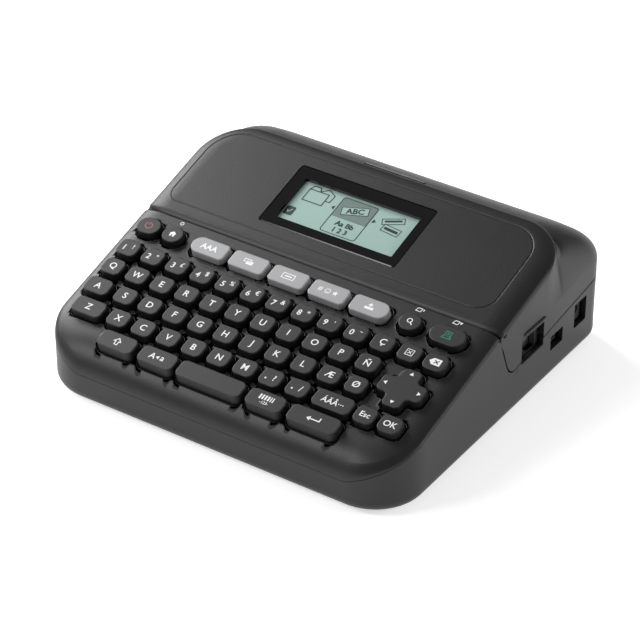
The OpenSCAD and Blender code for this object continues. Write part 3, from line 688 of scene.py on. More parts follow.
back_columns = np.concatenate([rows[::-1, -1, 0], back_x, rows[:, 0, 0]])
back_columns = back_columns[np.concatenate([[True], np.diff(back_columns) > 1e-6])]
back_rows = turned_down(back_columns, BACK_Y - 0.6, 0.6, 1.6, panel_z)
mouths = [lifted(panel_z, loop) for loop in hole_loops]
inner_back = lifted(panel_z, back_rows[0][:, :2])
inner_back = inner_back[0] - inner_back[1] * PANEL_T
panel_parts = thicken(joined(top, roll), PANEL_T, [m[0] for m in mouths] + [back_rows[0]])
back_part = sheet(np.concatenate([back_rows, [inner_back]]))
if back_part[2][:, 1].sum() < 0:
    back_part = flipped(back_part)
panel_parts.append(back_part)
UP_SLOPE = np.array([0.0, -math.sin(SLOPE), math.cos(SLOPE)])


def hole_lining(loop_of, soft, wide, mouth):
    """Softened mouth and walls of one opening: a quarter circle from the surface down, then the wall
    square to the slope, then a ledge out to the panel's underside."""
    levels = []
    for a in quarter:
        flat = loop_of(wide + soft * (1 - math.sin(a)))
        top_z = panel_z(flat[:, 0], flat[:, 1])
        levels.append(np.column_stack([flat, top_z]) - UP_SLOPE * soft * (1 - math.cos(a)))
    levels.append(levels[-1] - UP_SLOPE * WALL_DOWN)
    under = mouth[0] - mouth[1] * PANEL_T
    return [collar(levels, True), collar([levels[-1], under], True)]


for key, mouth in zip(all_keys, mouths):
    panel_parts += hole_lining(lambda grow, key=key: key_outline(*key, grow=grow), HOLE_SOFT, KEY_GAP, mouth)
panel_parts += hole_lining(pad_loop, HOLE_SOFT, PAD_GAP, mouths[-1])
build("keyboard_panel_skin", "base", panel_parts, [case_black], slot="case_plastic",
      replaces=["keyboard_panel"])

# ---- Keys ---------------------------------------------------------------------------------------
# Moulded ABS caps on a silicone mat: matte dark grey, five of them light grey, standing 3.1 mm above
# the panel with a flange under it. Legends are printed in white on the flat tops, the start and print
# marks in red and green. Each row of like caps is one node and is pressed as one.

key_dark = finish("key_dark", (0.009, 0.009, 0.0095), 0.5, grain=2400.0, depth=0.00003, shine=0.42)
key_light = finish("key_light", (0.33, 0.33, 0.34), 0.42, grain=2400.0, depth=0.00002, vary=0.04)
ink_white = finish("ink_white", (0.82, 0.82, 0.82), 0.5, vary=0.03)
ink_red = finish("ink_red", (0.30, 0.05, 0.05), 0.4, vary=0.1)
ink_green = finish("ink_green", (0.02, 0.22, 0.11), 0.4, vary=0.1)
KEY_H = 3.1


def on_slope(x, y, flat, h=0.0):
    """Points at (across, up the slope) from a place on the slope, h mm above it square to the slope."""
    u, v = flat[:, 0], flat[:, 1]
    h = h + 0.0 * u
    return np.column_stack([x + u, y + v * math.cos(SLOPE) - h * math.sin(SLOPE),
                            plane_z(y) + v * math.sin(SLOPE) + h * math.cos(SLOPE)])


def facing_up(place, flat, triangles, h):
    """Flat part on the slope, h mm above it, whose normals point square away from the slope."""
    return plate(on_slope(*place, flat, h), triangles, UP_SLOPE)


def facing_down(place, flat, triangles, h):
    """The same turned round."""
    return plate(on_slope(*place, flat, h), triangles[:, ::-1], -UP_SLOPE)


def cap(outline_of, x, y, soft=0.6, draft=0.2, top=KEY_H):
    """Key cap: flange, slightly drawn-in wall, a quarter-ellipse shoulder and a flat top. outline_of(grow)
    gives the loop grown by that much."""
    ring = lambda grow, h: on_slope(x, y, outline_of(grow), h)
    flange = [ring(0.7, -3.8), ring(0.7, -2.8)]
    turn = np.linspace(0, math.pi / 2, 7)
    wall = [ring(0.0, -2.8)]
    wall += [ring(-draft - soft * (1 - math.cos(a)), top - 0.75 * soft * (1 - math.sin(a))) for a in turn]
    loop = outline_of(-draft - soft)
    flat, tri = fill(loop, (), 4.0)
    shell = sheet(np.stack(wall), closed=True)
    smooth = shell[2].copy()
    smooth[-len(loop):] = UP_SLOPE
    return [lid_on(flange[0], True), collar(flange), collar([flange[1], wall[0]]),
            (shell[0], shell[1], smooth), facing_up((x, y), flat, tri, top)]


def key_loop(w, d, r):
    """Rounded rectangle about the key's middle, as a function of how far it is grown."""
    return lambda grow: rounded(-w / 2 - grow, -d / 2 - grow, w / 2 + grow, d / 2 + grow,
                                max(r + grow, 0.3), 6)


def lettering(words, size, bold=0.012):
    """Words set in the plain sans of the program, as flat points and triangles about their middle."""
    curve = bpy.data.curves.new("legend", "FONT")
    curve.body, curve.size, curve.offset = words, size, bold * size
    curve.align_x, curve.align_y, curve.resolution_u = "CENTER", "CENTER", 3
    holder = bpy.data.objects.new("legend", curve)
    bpy.context.scene.collection.objects.link(holder)
    mesh = bpy.data.meshes.new_from_object(holder.evaluated_get(bpy.context.evaluated_depsgraph_get()))
    mesh.calc_loop_triangles()
    points = np.zeros(len(mesh.vertices) * 3)
    mesh.vertices.foreach_get("co", points)
    triangles = np.zeros(len(mesh.loop_triangles) * 3, dtype=np.int32)
    mesh.loop_triangles.foreach_get("vertices", triangles)
    bpy.data.objects.remove(holder)
    bpy.data.curves.remove(curve)
    bpy.data.meshes.remove(mesh)
    points, triangles = points.reshape(-1, 3)[:, :2], triangles.reshape(-1, 3).astype(int)
    middle = (points.min(axis=0) + points.max(axis=0)) / 2
    return points - middle, triangles


def stroke(line, width, closed=False):
    """Line of even width: each point moved half the width to both sides along the mean of its edges'
    normals."""
    line = np.asarray(line, float)
    ahead, behind = np.roll(line, -1, axis=0) - line, line - np.roll(line, 1, axis=0)
    if not closed:
        ahead[-1], behind[0] = behind[-1], ahead[0]
    unit = lambda v: v / np.maximum(np.linalg.norm(v, axis=1), 1e-9)[:, None]
    side = lambda v: np.column_stack([-v[:, 1], v[:, 0]])
    mean = unit(side(unit(ahead)) + side(unit(behind)))
    reach = width / 2 / np.maximum(np.sum(mean * side(unit(ahead)), axis=1), 0.4)
    rows = np.stack([line - mean * reach[:, None], line + mean * reach[:, None]])
    n = len(line)
    index = np.arange(2 * n).reshape(2, n)
    if closed:
        index = np.concatenate([index, index[:, :1]], axis=1)
    a, b, c, d = index[0, :-1], index[0, 1:], index[1, 1:], index[1, :-1]
    return rows.reshape(-1, 2), np.concatenate([np.stack([a, b, c], 1), np.stack([a, c, d], 1)])


def area(loop):
    """Filled loop as flat points and triangles."""
    return fill(np.asarray(loop, float), (), 50.0)


def circle(r, n=28, x=0.0, y=0.0, start=0.0, end=2 * math.pi):
    """Points of a circle or of an arc between two angles."""
    a = np.linspace(start, end, n, endpoint=abs(end - start) < 6.28)
    return np.column_stack([x + r * np.cos(a), y + r * np.sin(a)])


def bars(n, w, h, x0=0.0, y0=0.0, step=1.0):
    """Row of n upright bars."""
    points, triangles = area([(0, 0), (w, 0), (w, h), (0, h)])
    return [(points + [x0 + step * i, y0], triangles) for i in range(n)]


def moved(shape, u, v, turn=0.0):
    """Flat shape turned about its middle, then shifted."""
    c, s = math.cos(turn), math.sin(turn)
    return shape[0] @ np.array([[c, s], [-s, c]]) + [u, v], shape[1]


def printed(x, y, shapes, h, number):
    """Flat shapes laid on the slope at height h, in the finish of this number."""
    return [(*facing_up((x, y), points, triangles, h), number) for points, triangles in shapes]


arrow_up = [stroke([(0, 1.9), (1.7, 0.1), (0.75, 0.1), (0.75, -1.7), (-0.75, -1.7), (-0.75, 0.1),
                    (-1.7, 0.1)], 0.42, True)]
house = [area([(0, 1.7), (1.8, 0.2), (1.25, 0.2), (1.25, -1.4), (0.35, -1.4), (0.35, -0.4), (-0.35, -0.4),
               (-0.35, -1.4), (-1.25, -1.4), (-1.25, 0.2), (-1.8, 0.2)])]
lens = [stroke(circle(1.1, 24, -0.3, 0.45), 0.42, True), stroke([(0.5, -0.4), (1.6, -1.6)], 0.55)]
rubout = [area([(-3.0, 0), (-1.4, 1.8), (2.6, 1.8), (2.6, -1.8), (-1.4, -1.8)])]
boxed = [stroke([(-1.7, -1.6), (1.7, -1.6), (1.7, 1.6), (-1.7, 1.6)], 0.32, True),
         stroke([(-0.9, -0.8), (0.9, 0.8)], 0.34), stroke([(-0.9, 0.8), (0.9, -0.8)], 0.34)]
frames = [stroke([(-2.4, 1.4), (1.0, 1.4), (1.0, -0.2), (-2.4, -0.2)], 0.42, True),
          area([(-0.9, 0.5), (2.5, 0.5), (2.5, -1.5), (-0.9, -1.5)])]
tag = [stroke([(-3.0, 1.4), (3.0, 1.4), (3.0, -1.4), (-3.0, -1.4)], 0.42, True),
       stroke([(-1.8, 0), (1.8, 0)], 0.7)]
star_turn = np.arange(10) * math.pi / 5
star_r = np.where(np.arange(10) % 2, 0.65, 1.6)
star = np.column_stack([star_r * np.sin(star_turn), star_r * np.cos(star_turn)])
signs = [moved(lettering("#", 3.6), -4.4, 0), stroke(moved((circle(1.25), 0), -0.6, 0)[0], 0.36, True),
         stroke(circle(0.6, 8, -0.6, 0.0, 3.5, 5.9), 0.3), moved(area(star), 3.3, 0)]
tray = [area([(-2.2, -0.3), (2.2, -0.3), (2.2, -1.7), (-2.2, -1.7)]),
        area([(0, 2.0), (1.3, 0.7), (-1.3, 0.7)]),
        area([(-0.5, 0.75), (-0.5, 0.1), (0.5, 0.1), (0.5, 0.75)])]
start = [stroke(circle(1.7, 22, 0, 0, math.pi * 0.68, math.pi * 2.32), 0.5),
         stroke([(0, 0.5), (0, 2.1)], 0.5)]
sheet_out = [stroke([(-2.1, -1.9), (2.1, -1.9), (1.6, -0.6), (-1.6, -0.6)], 0.45, True),
             stroke([(-1.3, -0.5), (-1.3, 1.9), (1.5, 1.9), (1.5, -0.5)], 0.4, True),
             stroke([(-0.6, 1.1), (0.8, 1.1)], 0.35), stroke([(-0.6, 0.4), (0.8, 0.4)], 0.35)]
code = bars(4, 0.8, 2.6, -3.7, -0.2, 1.4) + bars(2, 0.5, 2.6, 1.9, -0.2, 1.1) + \
    [moved(lettering("-123-", 2.0, 0.02), 0.1, -1.6)]
back_turn = [stroke([(3.0, 1.5), (3.0, -0.3), (-2.0, -0.3)], 0.55),
             area([(-3.4, -0.3), (-1.6, 0.95), (-1.6, -1.55)])]
dot = moved(area(circle(0.45, 10)), -2.2, -1.2)
wedge = lambda turn: [moved(area([(0, 0.95), (1.0, -0.7), (-1.0, -0.7)]), 0, 0, turn)]

digit_marks = zip("1234567890", "!\"£$%€&*'¯")
legends = {name: [] for name in keys}
for (big, small), key in zip(digit_marks, keys["digit_keys"]):
    pair = [moved(lettering(big, 4.3), -1.9, -0.5), moved(lettering(small, 3.4), 2.1, 1.1)]
    legends["digit_keys"].append((key, pair))
legends["digit_keys"] += [(keys["digit_keys"][10], [lettering("Ç", 4.6)]), (keys["digit_keys"][11], boxed)]
for name, letters in (("upper_letter_keys", "QWERTYUIOPÑ"), ("middle_letter_keys", "ASDFGHJKLÆØ"),
                      ("lower_letter_keys", "ZXCVBNM")):
    for letter, key in zip(letters, keys[name]):
        legends[name].append((key, [lettering(letter, 4.6)]))
for place, sign in ((7, "?"), (8, "/")):
    pair = [dot, moved(lettering(sign, 4.2), 1.7, 0)]
    legends["lower_letter_keys"].append((keys["lower_letter_keys"][place], pair))
plain = {"home_key": house, "text_key": [lettering("AAA", 4.2, 0.03)], "frame_key": frames, "label_key": tag,
         "symbol_key": signs, "file_key": tray, "preview_key": lens, "print_key": sheet_out,
         "power_key": start, "backspace_key": rubout, "accent_key": [lettering("ÁÄÂ···", 4.0)],
         "escape_key": [lettering("Esc", 3.9)], "ok_key": [lettering("OK", 4.3)], "shift_key": arrow_up,
         "barcode_key": code, "enter_key": back_turn,
         "caps_key": [moved(lettering("A", 4.4), -2.6, 0.1), moved(wedge(math.pi / 2)[0], 0, 0.1),
                      moved(lettering("a", 4.4), 2.5, 0.0)]}
for name, shapes in plain.items():
    legends[name].append((keys[name][0], shapes))
light_keys = ("text_key", "frame_key", "label_key", "symbol_key", "file_key")
ink_of = {"power_key": ink_red, "print_key": ink_green}
end_caps = {"text_key": -1, "file_key": 1}


def stadium_end(w, d, side):
    """Key with one fully rounded end: radius 4.5 at both corners of that side, 2.2 at the others."""
    def loop(grow):
        """The key's outline grown by that much."""
        big, small = 4.5 + grow, max(2.2 + grow, 0.3)
        r4 = (big, small, small, big) if side > 0 else (small, big, big, small)
        return rounded(-w / 2 - grow, -d / 2 - grow, w / 2 + grow, d / 2 + grow, 0, 6, r4)
    return loop


INK_H = 0.03
for name, row in keys.items():
    parts = []
    for x, y, w, d, r in row:
        shape = stadium_end(w, d, end_caps[name]) if name in end_caps else key_loop(w, d, r)
        parts += cap(shape, x, y)
    for (x, y, w, d, r), shapes in legends[name]:
        parts += printed(x, y, shapes, KEY_H + INK_H, 1)
    if name == "backspace_key":
        cross = [stroke([(-0.6, -1.0), (1.6, 1.0)], 0.5), stroke([(-0.6, 1.0), (1.6, -1.0)], 0.5)]
        parts += printed(*row[0][:2], cross, KEY_H + 0.05, 0)
    tone = key_light if name in light_keys else key_dark
    build(name + "_caps", name, parts, [tone, ink_of.get(name, ink_white)],
          slot="grey_key_plastic" if name in light_keys else "key_plastic", replaces=[name])

# ---- Direction pad ------------------------------------------------------------------------------
# One plus-shaped cap of the same dark plastic, which rocks on a pivot under its middle. Four printed
# arrowheads point outwards near the ends of its arms.

PAD_LOW, PAD_STEM = -1.6, circle(3.4, 32)
pad_parts = cap(pad_shape, *DPAD)[2:]
flat_cross, tri_cross = fill(pad_shape(0.0), (), 4.0)
pad_parts.append(facing_down(DPAD, flat_cross, tri_cross, PAD_LOW))
pad_parts[0] = collar([on_slope(*DPAD, pad_shape(0.0), h) for h in (PAD_LOW, -1.2)])
pad_parts += [collar([on_slope(*DPAD, PAD_STEM, h) for h in (-4.4, PAD_LOW)]),
              lid_on(on_slope(*DPAD, PAD_STEM, -4.4), True)]
for k, (u, v) in enumerate(((0, 8.3), (-8.3, 0), (0, -8.3), (8.3, 0))):
    pad_parts += printed(*DPAD, [moved(wedge(k * math.pi / 2)[0], u, v)], KEY_H + INK_H, 1)
build("direction_pad_cap", "dpad", pad_parts, [key_dark, ink_white], slot="key_plastic", replaces=["dpad"])

# ---- Marks printed on the panel -----------------------------------------------------------------
# Small white marks beside the home, preview and print keys, printed on the panel itself: a ring, a
# sheet with a bang, and a sheet with a cutting mark.

small_sheet = [stroke([(-1.6, -0.9), (0.8, -0.9), (1.1, 0.9), (-1.0, 0.9)], 0.35, True)]
marks = printed(-71.3, 81.4, [stroke(circle(0.8, 18), 0.35, True)], INK_H, 0)
marks += printed(55.1, 81.7, small_sheet + [stroke([(2.0, 0.9), (1.9, -0.2)], 0.45)], INK_H, 0)
marks += printed(73.6, 82.0, small_sheet + [area([(1.5, 0.9), (2.8, 0.9), (2.1, -0.7)])], INK_H, 0)
build("panel_marks", "base", marks, [ink_white], slot="key_plastic")

# ---- Display fascia -----------------------------------------------------------------------------
# The top of the lid: a black ABS plate that carries the display, with a rounded front edge that is
# the hinge knuckle, rolled sides and back, and a fine moulded line that frames the display field.

lid_black = finish("lid_black", (0.006, 0.006, 0.0062), 0.42, grain=1500.0, depth=0.00006, shine=0.42)
HINGE_Y, KNUCKLE = 88.2, 4.0
HINGE_Z = plane_z(HINGE_Y) - KNUCKLE / math.cos(SLOPE)
FASCIA_FRONT = HINGE_Y - KNUCKLE * math.sin(SLOPE)
RIDGE_Y = 147.5
WINDOW = (-4.7, 115.6)
LINE_W, LINE_DEEP = 0.55, 0.3


def fascia_width(facing):
    """Width of the roll: 10 mm at the sides, 6.5 mm where the outline faces back."""
    return SIDE_ROLL - 3.5 * facing ** 2


def framing_line(x, y):
    """Distance to the moulded line: a rounded rectangle's, with its own radius at each corner."""
    cx, cy, hw, hh = -3.0, 116.15, 85.5, 24.15
    r = np.where(x > cx, np.where(y > cy, 14.0, 9.0), np.where(y > cy, 16.0, 7.0))
    qx, qy = np.abs(x - cx) - hw + r, np.abs(y - cy) - hh + r
    return np.hypot(np.maximum(qx, 0), np.maximum(qy, 0)) + np.minimum(np.maximum(qx, qy), 0) - r


def fascia_z(x, y):
    """Height of the fascia's top: the plane less the roll, less a cosine groove along the framing line."""
    d, facing = from_edge(x, y, RIDGE_Y - CORNER, 1.0)
    across = np.clip(framing_line(x, y) / LINE_W, -1.0, 1.0) * math.pi
    return plane_z(y) - fall(d, SEAM_DROP, fascia_width(facing)) - LINE_DEEP * (1.0 + np.cos(across)) / 2.0


lid_path = edge_path(FASCIA_FRONT, RIDGE_Y - CORNER, 1.0)
rows, row_normals = roll_rings(lid_path, fascia_width, lambda facing: SEAM_DROP + 0 * facing)
band_line = rows[0][:, :2]
front_x = np.linspace(-band_line[0, 0], band_line[0, 0], 60)[1:-1]
fascia_loop = np.concatenate([band_line, np.column_stack([front_x, np.full(58, FASCIA_FRONT)])])
window_hole = rounded(WINDOW[0] - 36.5, WINDOW[1] - 19.1 * math.cos(SLOPE), WINDOW[0] + 36.5,
                      WINDOW[1] + 19.1 * math.cos(SLOPE), 1.6, 4)
frame_lines = [rounded(-88.5 - g, 92.0 - g, 82.5 + g, 140.3 + g, 0, 14, (14 + g, 16 + g, 7 + g, 9 + g))
               for g in (-LINE_W - 0.02, -LINE_W / 2, 0.0, LINE_W / 2, LINE_W + 0.02)]
flat, tri = fill(fascia_loop, [window_hole], 3.4, frame_lines, 0.35)
points, normals = lifted(fascia_z, flat)
front_edge = points[points[:, 1] < FASCIA_FRONT + 0.001]
fascia_parts = thicken(joined((points, tri, normals), grid_part(rows, row_normals)), 2.3, [front_edge])
columns = np.concatenate([rows[::-1, -1, 0], front_x, rows[:, 0, 0]])
columns = columns[np.concatenate([[True], np.diff(columns) > 1e-6])]
ends_drop = plane_z(FASCIA_FRONT) - fascia_z(columns, np.full(len(columns), FASCIA_FRONT))
knuckle_r = KNUCKLE - ends_drop * math.cos(SLOPE)
knuckle = np.stack([np.column_stack([columns, HINGE_Y - knuckle_r * math.sin(a + SLOPE),
                                     HINGE_Z + knuckle_r * math.cos(a + SLOPE)])
                    for a in np.linspace(0, 2 * math.pi, 41)])
rod = sheet(knuckle)
if np.sum(rod[2][:, 2] * (rod[0][:, 2] - HINGE_Z)) < 0:
    rod = flipped(rod)
fascia_parts += [rod, lid_on(knuckle[:-1, 0]), lid_on(knuckle[:-1, -1], True)]
build("display_fascia_skin", "lid", fascia_parts, [lid_black], slot="lid_plastic",
      replaces=["display_fascia"])

# ---- Display window -----------------------------------------------------------------------------
# A polished acrylic pane let into the fascia and printed black behind all but the clear field over
# the display. Its edge is bevelled, and catches the light as a thin line.

window_black = finish("window_black", (0.003, 0.003, 0.0034), 0.09, grain=60.0, depth=0.0, vary=0.1,
                      wear=0.02, shine=0.35)
LCD_HALF, LCD_MID = (30.9, 12.9), (0.85, -0.85)
PANE_TOP, BEVEL_H, PANE_LOW = 0.12, -0.2, -1.6
pane = rounded(-36.2, -18.8, 36.2, 18.8, 1.4, 4)
clear = rounded(LCD_MID[0] - LCD_HALF[0], LCD_MID[1] - LCD_HALF[1], LCD_MID[0] + LCD_HALF[0],
                LCD_MID[1] + LCD_HALF[1], 0.3, 2)
shrunk = rounded(-35.8, -18.4, 35.8, 18.4, 1.0, 4)
flat, tri = fill(shrunk, [clear], 12.0)
pane_parts = [facing_up(WINDOW, flat, tri, PANE_TOP),
              collar([on_slope(*WINDOW, pane, h) for h in (PANE_LOW, BEVEL_H)]),
              collar([on_slope(*WINDOW, pane, BEVEL_H), on_slope(*WINDOW, shrunk, PANE_TOP)]),
              collar([on_slope(*WINDOW, clear, h) for h in (PANE_TOP, PANE_LOW)]),
              facing_down(WINDOW, flat, tri, PANE_LOW),
              collar([on_slope(*WINDOW, shrunk, PANE_LOW), on_slope(*WINDOW, pane, PANE_LOW)])]
build("display_window_pane", "lid", pane_parts, [window_black], slot="window_gloss",
      replaces=["display_window"])

# ---- Liquid crystal display ---------------------------------------------------------------------
# A reflective grey-green module under the window, showing a row of three menu pictures with the
# middle one picked out, a pair of small arrows and a plain status mark.

lcd_green = finish("lcd_green", (0.33, 0.47, 0.43), 0.22, grain=900.0, depth=0.0, vary=0.04, wear=0.02)
lcd_grey = finish("lcd_grey", (0.16, 0.22, 0.20), 0.25, grain=900.0, depth=0.0, vary=0.04, wear=0.02)
lcd_ink = finish("lcd_ink", (0.015, 0.03, 0.028), 0.3, vary=0.05)
glass = rounded(-32.5, -13.6, 32.5, 13.6, 0.4, 2)
flat, tri = fill(glass, (), 12.0)
LCD_TOP, LCD_LOW = -1.7, -5.8
lcd_parts = [facing_up(WINDOW, flat, tri, LCD_TOP),
             collar([on_slope(*WINDOW, glass, h) for h in (LCD_LOW, LCD_TOP)]),
             facing_down(WINDOW, flat, tri, LCD_LOW)]
rect = lambda x0, y0, x1, y1: [(x0, y0), (x1, y0), (x1, y1), (x0, y1)]
picked = [area(rect(-7.9, -1.6, 9.9, 10.2))]
screen = [stroke(rounded(-8.2, -11.4, 10.2, 10.5, 1.2, 3), 0.4, True),
          stroke([(-25.8, 1.4), (-25.8, 8.6), (-15.4, 8.6), (-15.4, 1.4)], 0.5, True),
          stroke([(-25.6, 8.8), (-24.6, 11.0), (-21.2, 11.0), (-20.2, 8.8)], 0.5),
          stroke([(-20.4, 8.8), (-16.8, 11.4), (-12.6, 9.0), (-13.0, 4.6), (-15.2, 4.6)], 0.45),
          area([(-9.2, 1.6), (-10.8, 2.9), (-9.2, 4.2)]), area([(11.4, 1.6), (13.0, 2.9), (11.4, 4.2)]),
          area(rounded(-29.6, -9.6, -24.8, -4.2, 0.9, 3))]
label_at = lambda shape: moved(shape, 1.0, 4.6, 0.32)
tag_paper = [label_at(area(rect(-6.4, -2.3, 6.4, 2.3)))]
tag_ink = [label_at(stroke(rect(-6.4, -2.3, 6.4, 2.3), 0.3, True)), label_at(lettering("ABC", 4.4, 0.03)),
           moved(lettering("Aa Bb", 3.9, 0.02), 1.0, -4.6), moved(lettering("1 2 3", 3.9, 0.02), 1.0, -8.6)]
tape_ink = [moved(stroke(rect(-5.2, -1.7, 5.2, 1.7), 0.35, True), 20.3, 6.4, 0.42),
            moved(stroke([(-4, 0.2), (4, 0.2)], 1.1), 20.3, 6.4, 0.42),
            moved(stroke(rect(-4.6, -2.0, 4.6, 2.0), 0.35, True), 22.0, 1.2, -0.1),
            moved(stroke([(-3.6, 0), (3.6, 0)], 1.5), 22.0, 1.2, -0.1)]
status = [moved(stroke([(-1.1, 0.2), (-0.3, -0.9), (1.2, 1.2)], 0.5), -27.2, -6.9)]
lcd_parts += printed(*WINDOW, picked, -1.66, 1) + printed(*WINDOW, screen + tape_ink, -1.62, 2)
lcd_parts += printed(*WINDOW, tag_paper + status, -1.6, 0) + printed(*WINDOW, tag_ink, -1.57, 2)
build("display_module", "lid", lcd_parts, [lcd_green, lcd_grey, lcd_ink], slot="display_glass",
      replaces=["lcd_module"])

# ---- Rear cover ---------------------------------------------------------------------------------
# The sides and back of the lid, one black ABS moulding fixed under the fascia. Its flat side ends in
# a crease where the swollen rear corner begins, a tongue reaches down in front of the tape slot, and
# a rounded lip stands over the slot.

BAND_Z = 41.0
TONGUE_GAP = 0.5
FORE, FLANK, REAR = 7, 13, 19
SIDES = FORE + FLANK
TONGUE_Y = 97.5
turn_a = np.linspace(0.0, math.pi / 2, 76)
flat_y = np.linspace(TONGUE_Y, RIDGE_Y - CORNER, FLANK + 1)[:-1]
fore = np.linspace(0, 1, FORE + 1)[:-1]


def ray_reach(a):
    """How far the footprint's outline lies from the fascia corner's centre in direction a: to the side wall,
    the back wall or the rear corner's circle, found from the usual quadratic."""
    x0, y0 = HALF - CORNER, RIDGE_Y - CORNER
    side, back = CORNER / np.maximum(np.cos(a), 1e-9), (DEPTH - y0) / np.maximum(np.sin(a), 1e-9)
    vx, vy = x0 - (HALF - REAR_R), y0 - (DEPTH - REAR_R)
    b = vx * np.cos(a) + vy * np.sin(a)
    round_corner = -b + np.sqrt(np.maximum(b * b - vx ** 2 - vy ** 2 + REAR_R ** 2, 0.0))
    flat_side, flat_back = y0 + side * np.sin(a) <= DEPTH - REAR_R, x0 + back * np.cos(a) <= HALF - REAR_R
    return np.where(flat_side, side, np.where(flat_back, back, round_corner))


cx, cy = HALF - CORNER, RIDGE_Y - CORNER
rear_x = np.linspace(cx, 0, REAR + 1)[1:]
inner_x = np.concatenate([np.full(SIDES, HALF), cx + CORNER * np.cos(turn_a), rear_x])
inner_y = np.concatenate([np.full(FORE, TONGUE_Y), flat_y, cy + CORNER * np.sin(turn_a),
                          np.full(REAR, RIDGE_Y)])
out_x = np.concatenate([np.ones(SIDES), np.cos(turn_a), np.zeros(REAR)])
out_y = np.concatenate([np.zeros(SIDES), np.sin(turn_a), np.ones(REAR)])
length = np.concatenate([np.zeros(SIDES), ray_reach(turn_a) - CORNER, np.full(REAR, DEPTH - RIDGE_Y)])
angle = np.concatenate([np.zeros(SIDES), turn_a, np.full(REAR, math.pi / 2)])
crease = math.radians(31.0)
swell = np.clip((angle - crease) / math.radians(24.0), 0.0, 1.0) ** 0.55
RIM_IN = 0.7
length = length + RIM_IN
start_x, start_y = inner_x - out_x * RIM_IN, inner_y - out_y * RIM_IN
round_in = RIM_IN + swell * (0.97 * length - RIM_IN)
band_z = BAND_Z + 3.0 * np.clip((angle - crease) / (math.pi / 2 - crease), 0, 1)
top_z = plane_z(inner_y) - SEAM_DROP - TONGUE_GAP
slope_down = swell * math.tan(math.radians(14.0))
full_drop = top_z - band_z - slope_down * length
roof = []
for t in np.concatenate([np.linspace(0, 1, 5)[:-1], 1 + np.linspace(0, 1, 19) ** 0.8]):
    run = np.minimum(t, 1.0) * (length - round_in)
    turn = np.maximum(t - 1.0, 0.0) * math.pi / 2
    h = run + round_in * np.sin(turn)
    z = top_z - slope_down * h - full_drop * (1.0 - np.cos(turn))
    straight = (min(max(t - 0.6, 0.0), 1.4)) / 1.4
    leaning = np.minimum(RIM_IN * min(t / 0.6, 1.0) + (length - RIM_IN) * straight, length)
    h = h * swell + leaning * (1 - swell)
    z = z * swell + (top_z - (top_z - band_z) * straight) * (1 - swell)
    roof.append(np.column_stack([start_x + out_x * h, start_y + out_y * h, z]))
roof = np.stack(roof)
lead_y = np.interp(-roof[:, 0, 2], -notch_z, notch_y) + TONGUE_GAP
roof[:, :FORE, 1] = lead_y[:, None] + (TONGUE_Y - lead_y)[:, None] * fore[None, :]
top_line = plane_z(roof[:, :FORE, 1]) - plane_z(TONGUE_Y)
roof[:, :FORE, 2] += top_line * ((roof[:, :FORE, 2] - BAND_Z) / (top_z[0] - BAND_Z))
left = roof[:, ::-1][:, 1:] * [-1, 1, 1]
roof = np.concatenate([roof, left], axis=1)
points, triangles, normals = sheet(roof)
if np.sum(normals[:, 2]) < 0:
    triangles, normals = triangles[:, ::-1], -normals
n_columns = roof.shape[1]
low_row = normals.reshape(roof.shape)
upright = (np.abs(out_x) > 0.999) & (swell < 0.01)
upright = np.concatenate([upright, upright[::-1][1:]])
low_row[6:, upright] = [1.0, 0.0, 0.0] * np.sign(roof[6:, upright][:, :, :1])
low_row[-1, :, 2] = 0
low_row[-1] /= np.linalg.norm(low_row[-1], axis=1)[:, None]
roof_part = (points, triangles, low_row.reshape(-1, 3))


def arc_of(x, y):
    """Distance round the footprint of a point on its right or rear edge: straight, then radius times
    angle."""
    a = np.arctan2(y - (DEPTH - REAR_R), np.maximum(x - (HALF - REAR_R), 1e-9))
    return np.where(y <= DEPTH - REAR_R, SIDE_S + y,
                    np.where(x > HALF - REAR_R + 1e-6, SIDE_S + DEPTH - REAR_R + REAR_R * a,
                             SIDE_S + DEPTH - REAR_R + REAR_R * math.pi / 2 + (HALF - REAR_R) - x))


half_columns = (n_columns + 1) // 2
upper_s = arc_of(roof[-1, :half_columns, 0], roof[-1, :half_columns, 1])
upper_z = roof[-1, :half_columns, 2]
keep = notch_z + TONGUE_GAP < upper_z[0] - 0.3
tongue = np.column_stack([at_side(notch_y[keep] + TONGUE_GAP * 0.8), notch_z[keep] + TONGUE_GAP])
under_s = np.concatenate([right_back, [LAP / 2]])
under = np.column_stack([under_s, part_z(around(under_s)[1]) + TONGUE_GAP])
right_low = np.concatenate([tongue, under[1:]])
right_up = np.column_stack([upper_s, upper_z])
mirrored = lambda line: (line * [-1, 1] + [LAP, 0])[::-1][1:]
mouth = np.array([[at_side(SLOT_Y[0]), part_z(SLOT_Y[0]) + TONGUE_GAP], [at_side(SLOT_Y[0]), SLOT_Z[1]],
                  [at_side(SLOT_Y[1]), SLOT_Z[1]], [at_side(SLOT_Y[1]), part_z(SLOT_Y[1]) + TONGUE_GAP]])
before = right_low[right_low[:, 0] < mouth[0, 0] - 0.2]
after = right_low[right_low[:, 0] > mouth[3, 0] + 0.2]
right_cut = np.concatenate([before, mouth, after])
upper_edge = np.concatenate([right_up, mirrored(right_up)])
cover_loop = np.concatenate([right_cut, mirrored(right_low), upper_edge[::-1]])
flat, tri = fill(cover_loop, (), 4.0)
wall_pts, wall_n = on_wall(flat)
ROOF_T, COVER_T = 0.68, 2.3
roof_thick = np.full(roof.shape[:2], ROOF_T)
roof_thick[-1] = COVER_T
cover_thick = np.concatenate([np.full(len(wall_pts), COVER_T), roof_thick.ravel()])
cover_parts = thicken(joined((wall_pts, tri, wall_n), roof_part), cover_thick)
lip_line = np.column_stack([np.full(15, HALF), np.linspace(104.6, 124.2, 15), np.linspace(38.9, 38.4, 15)])
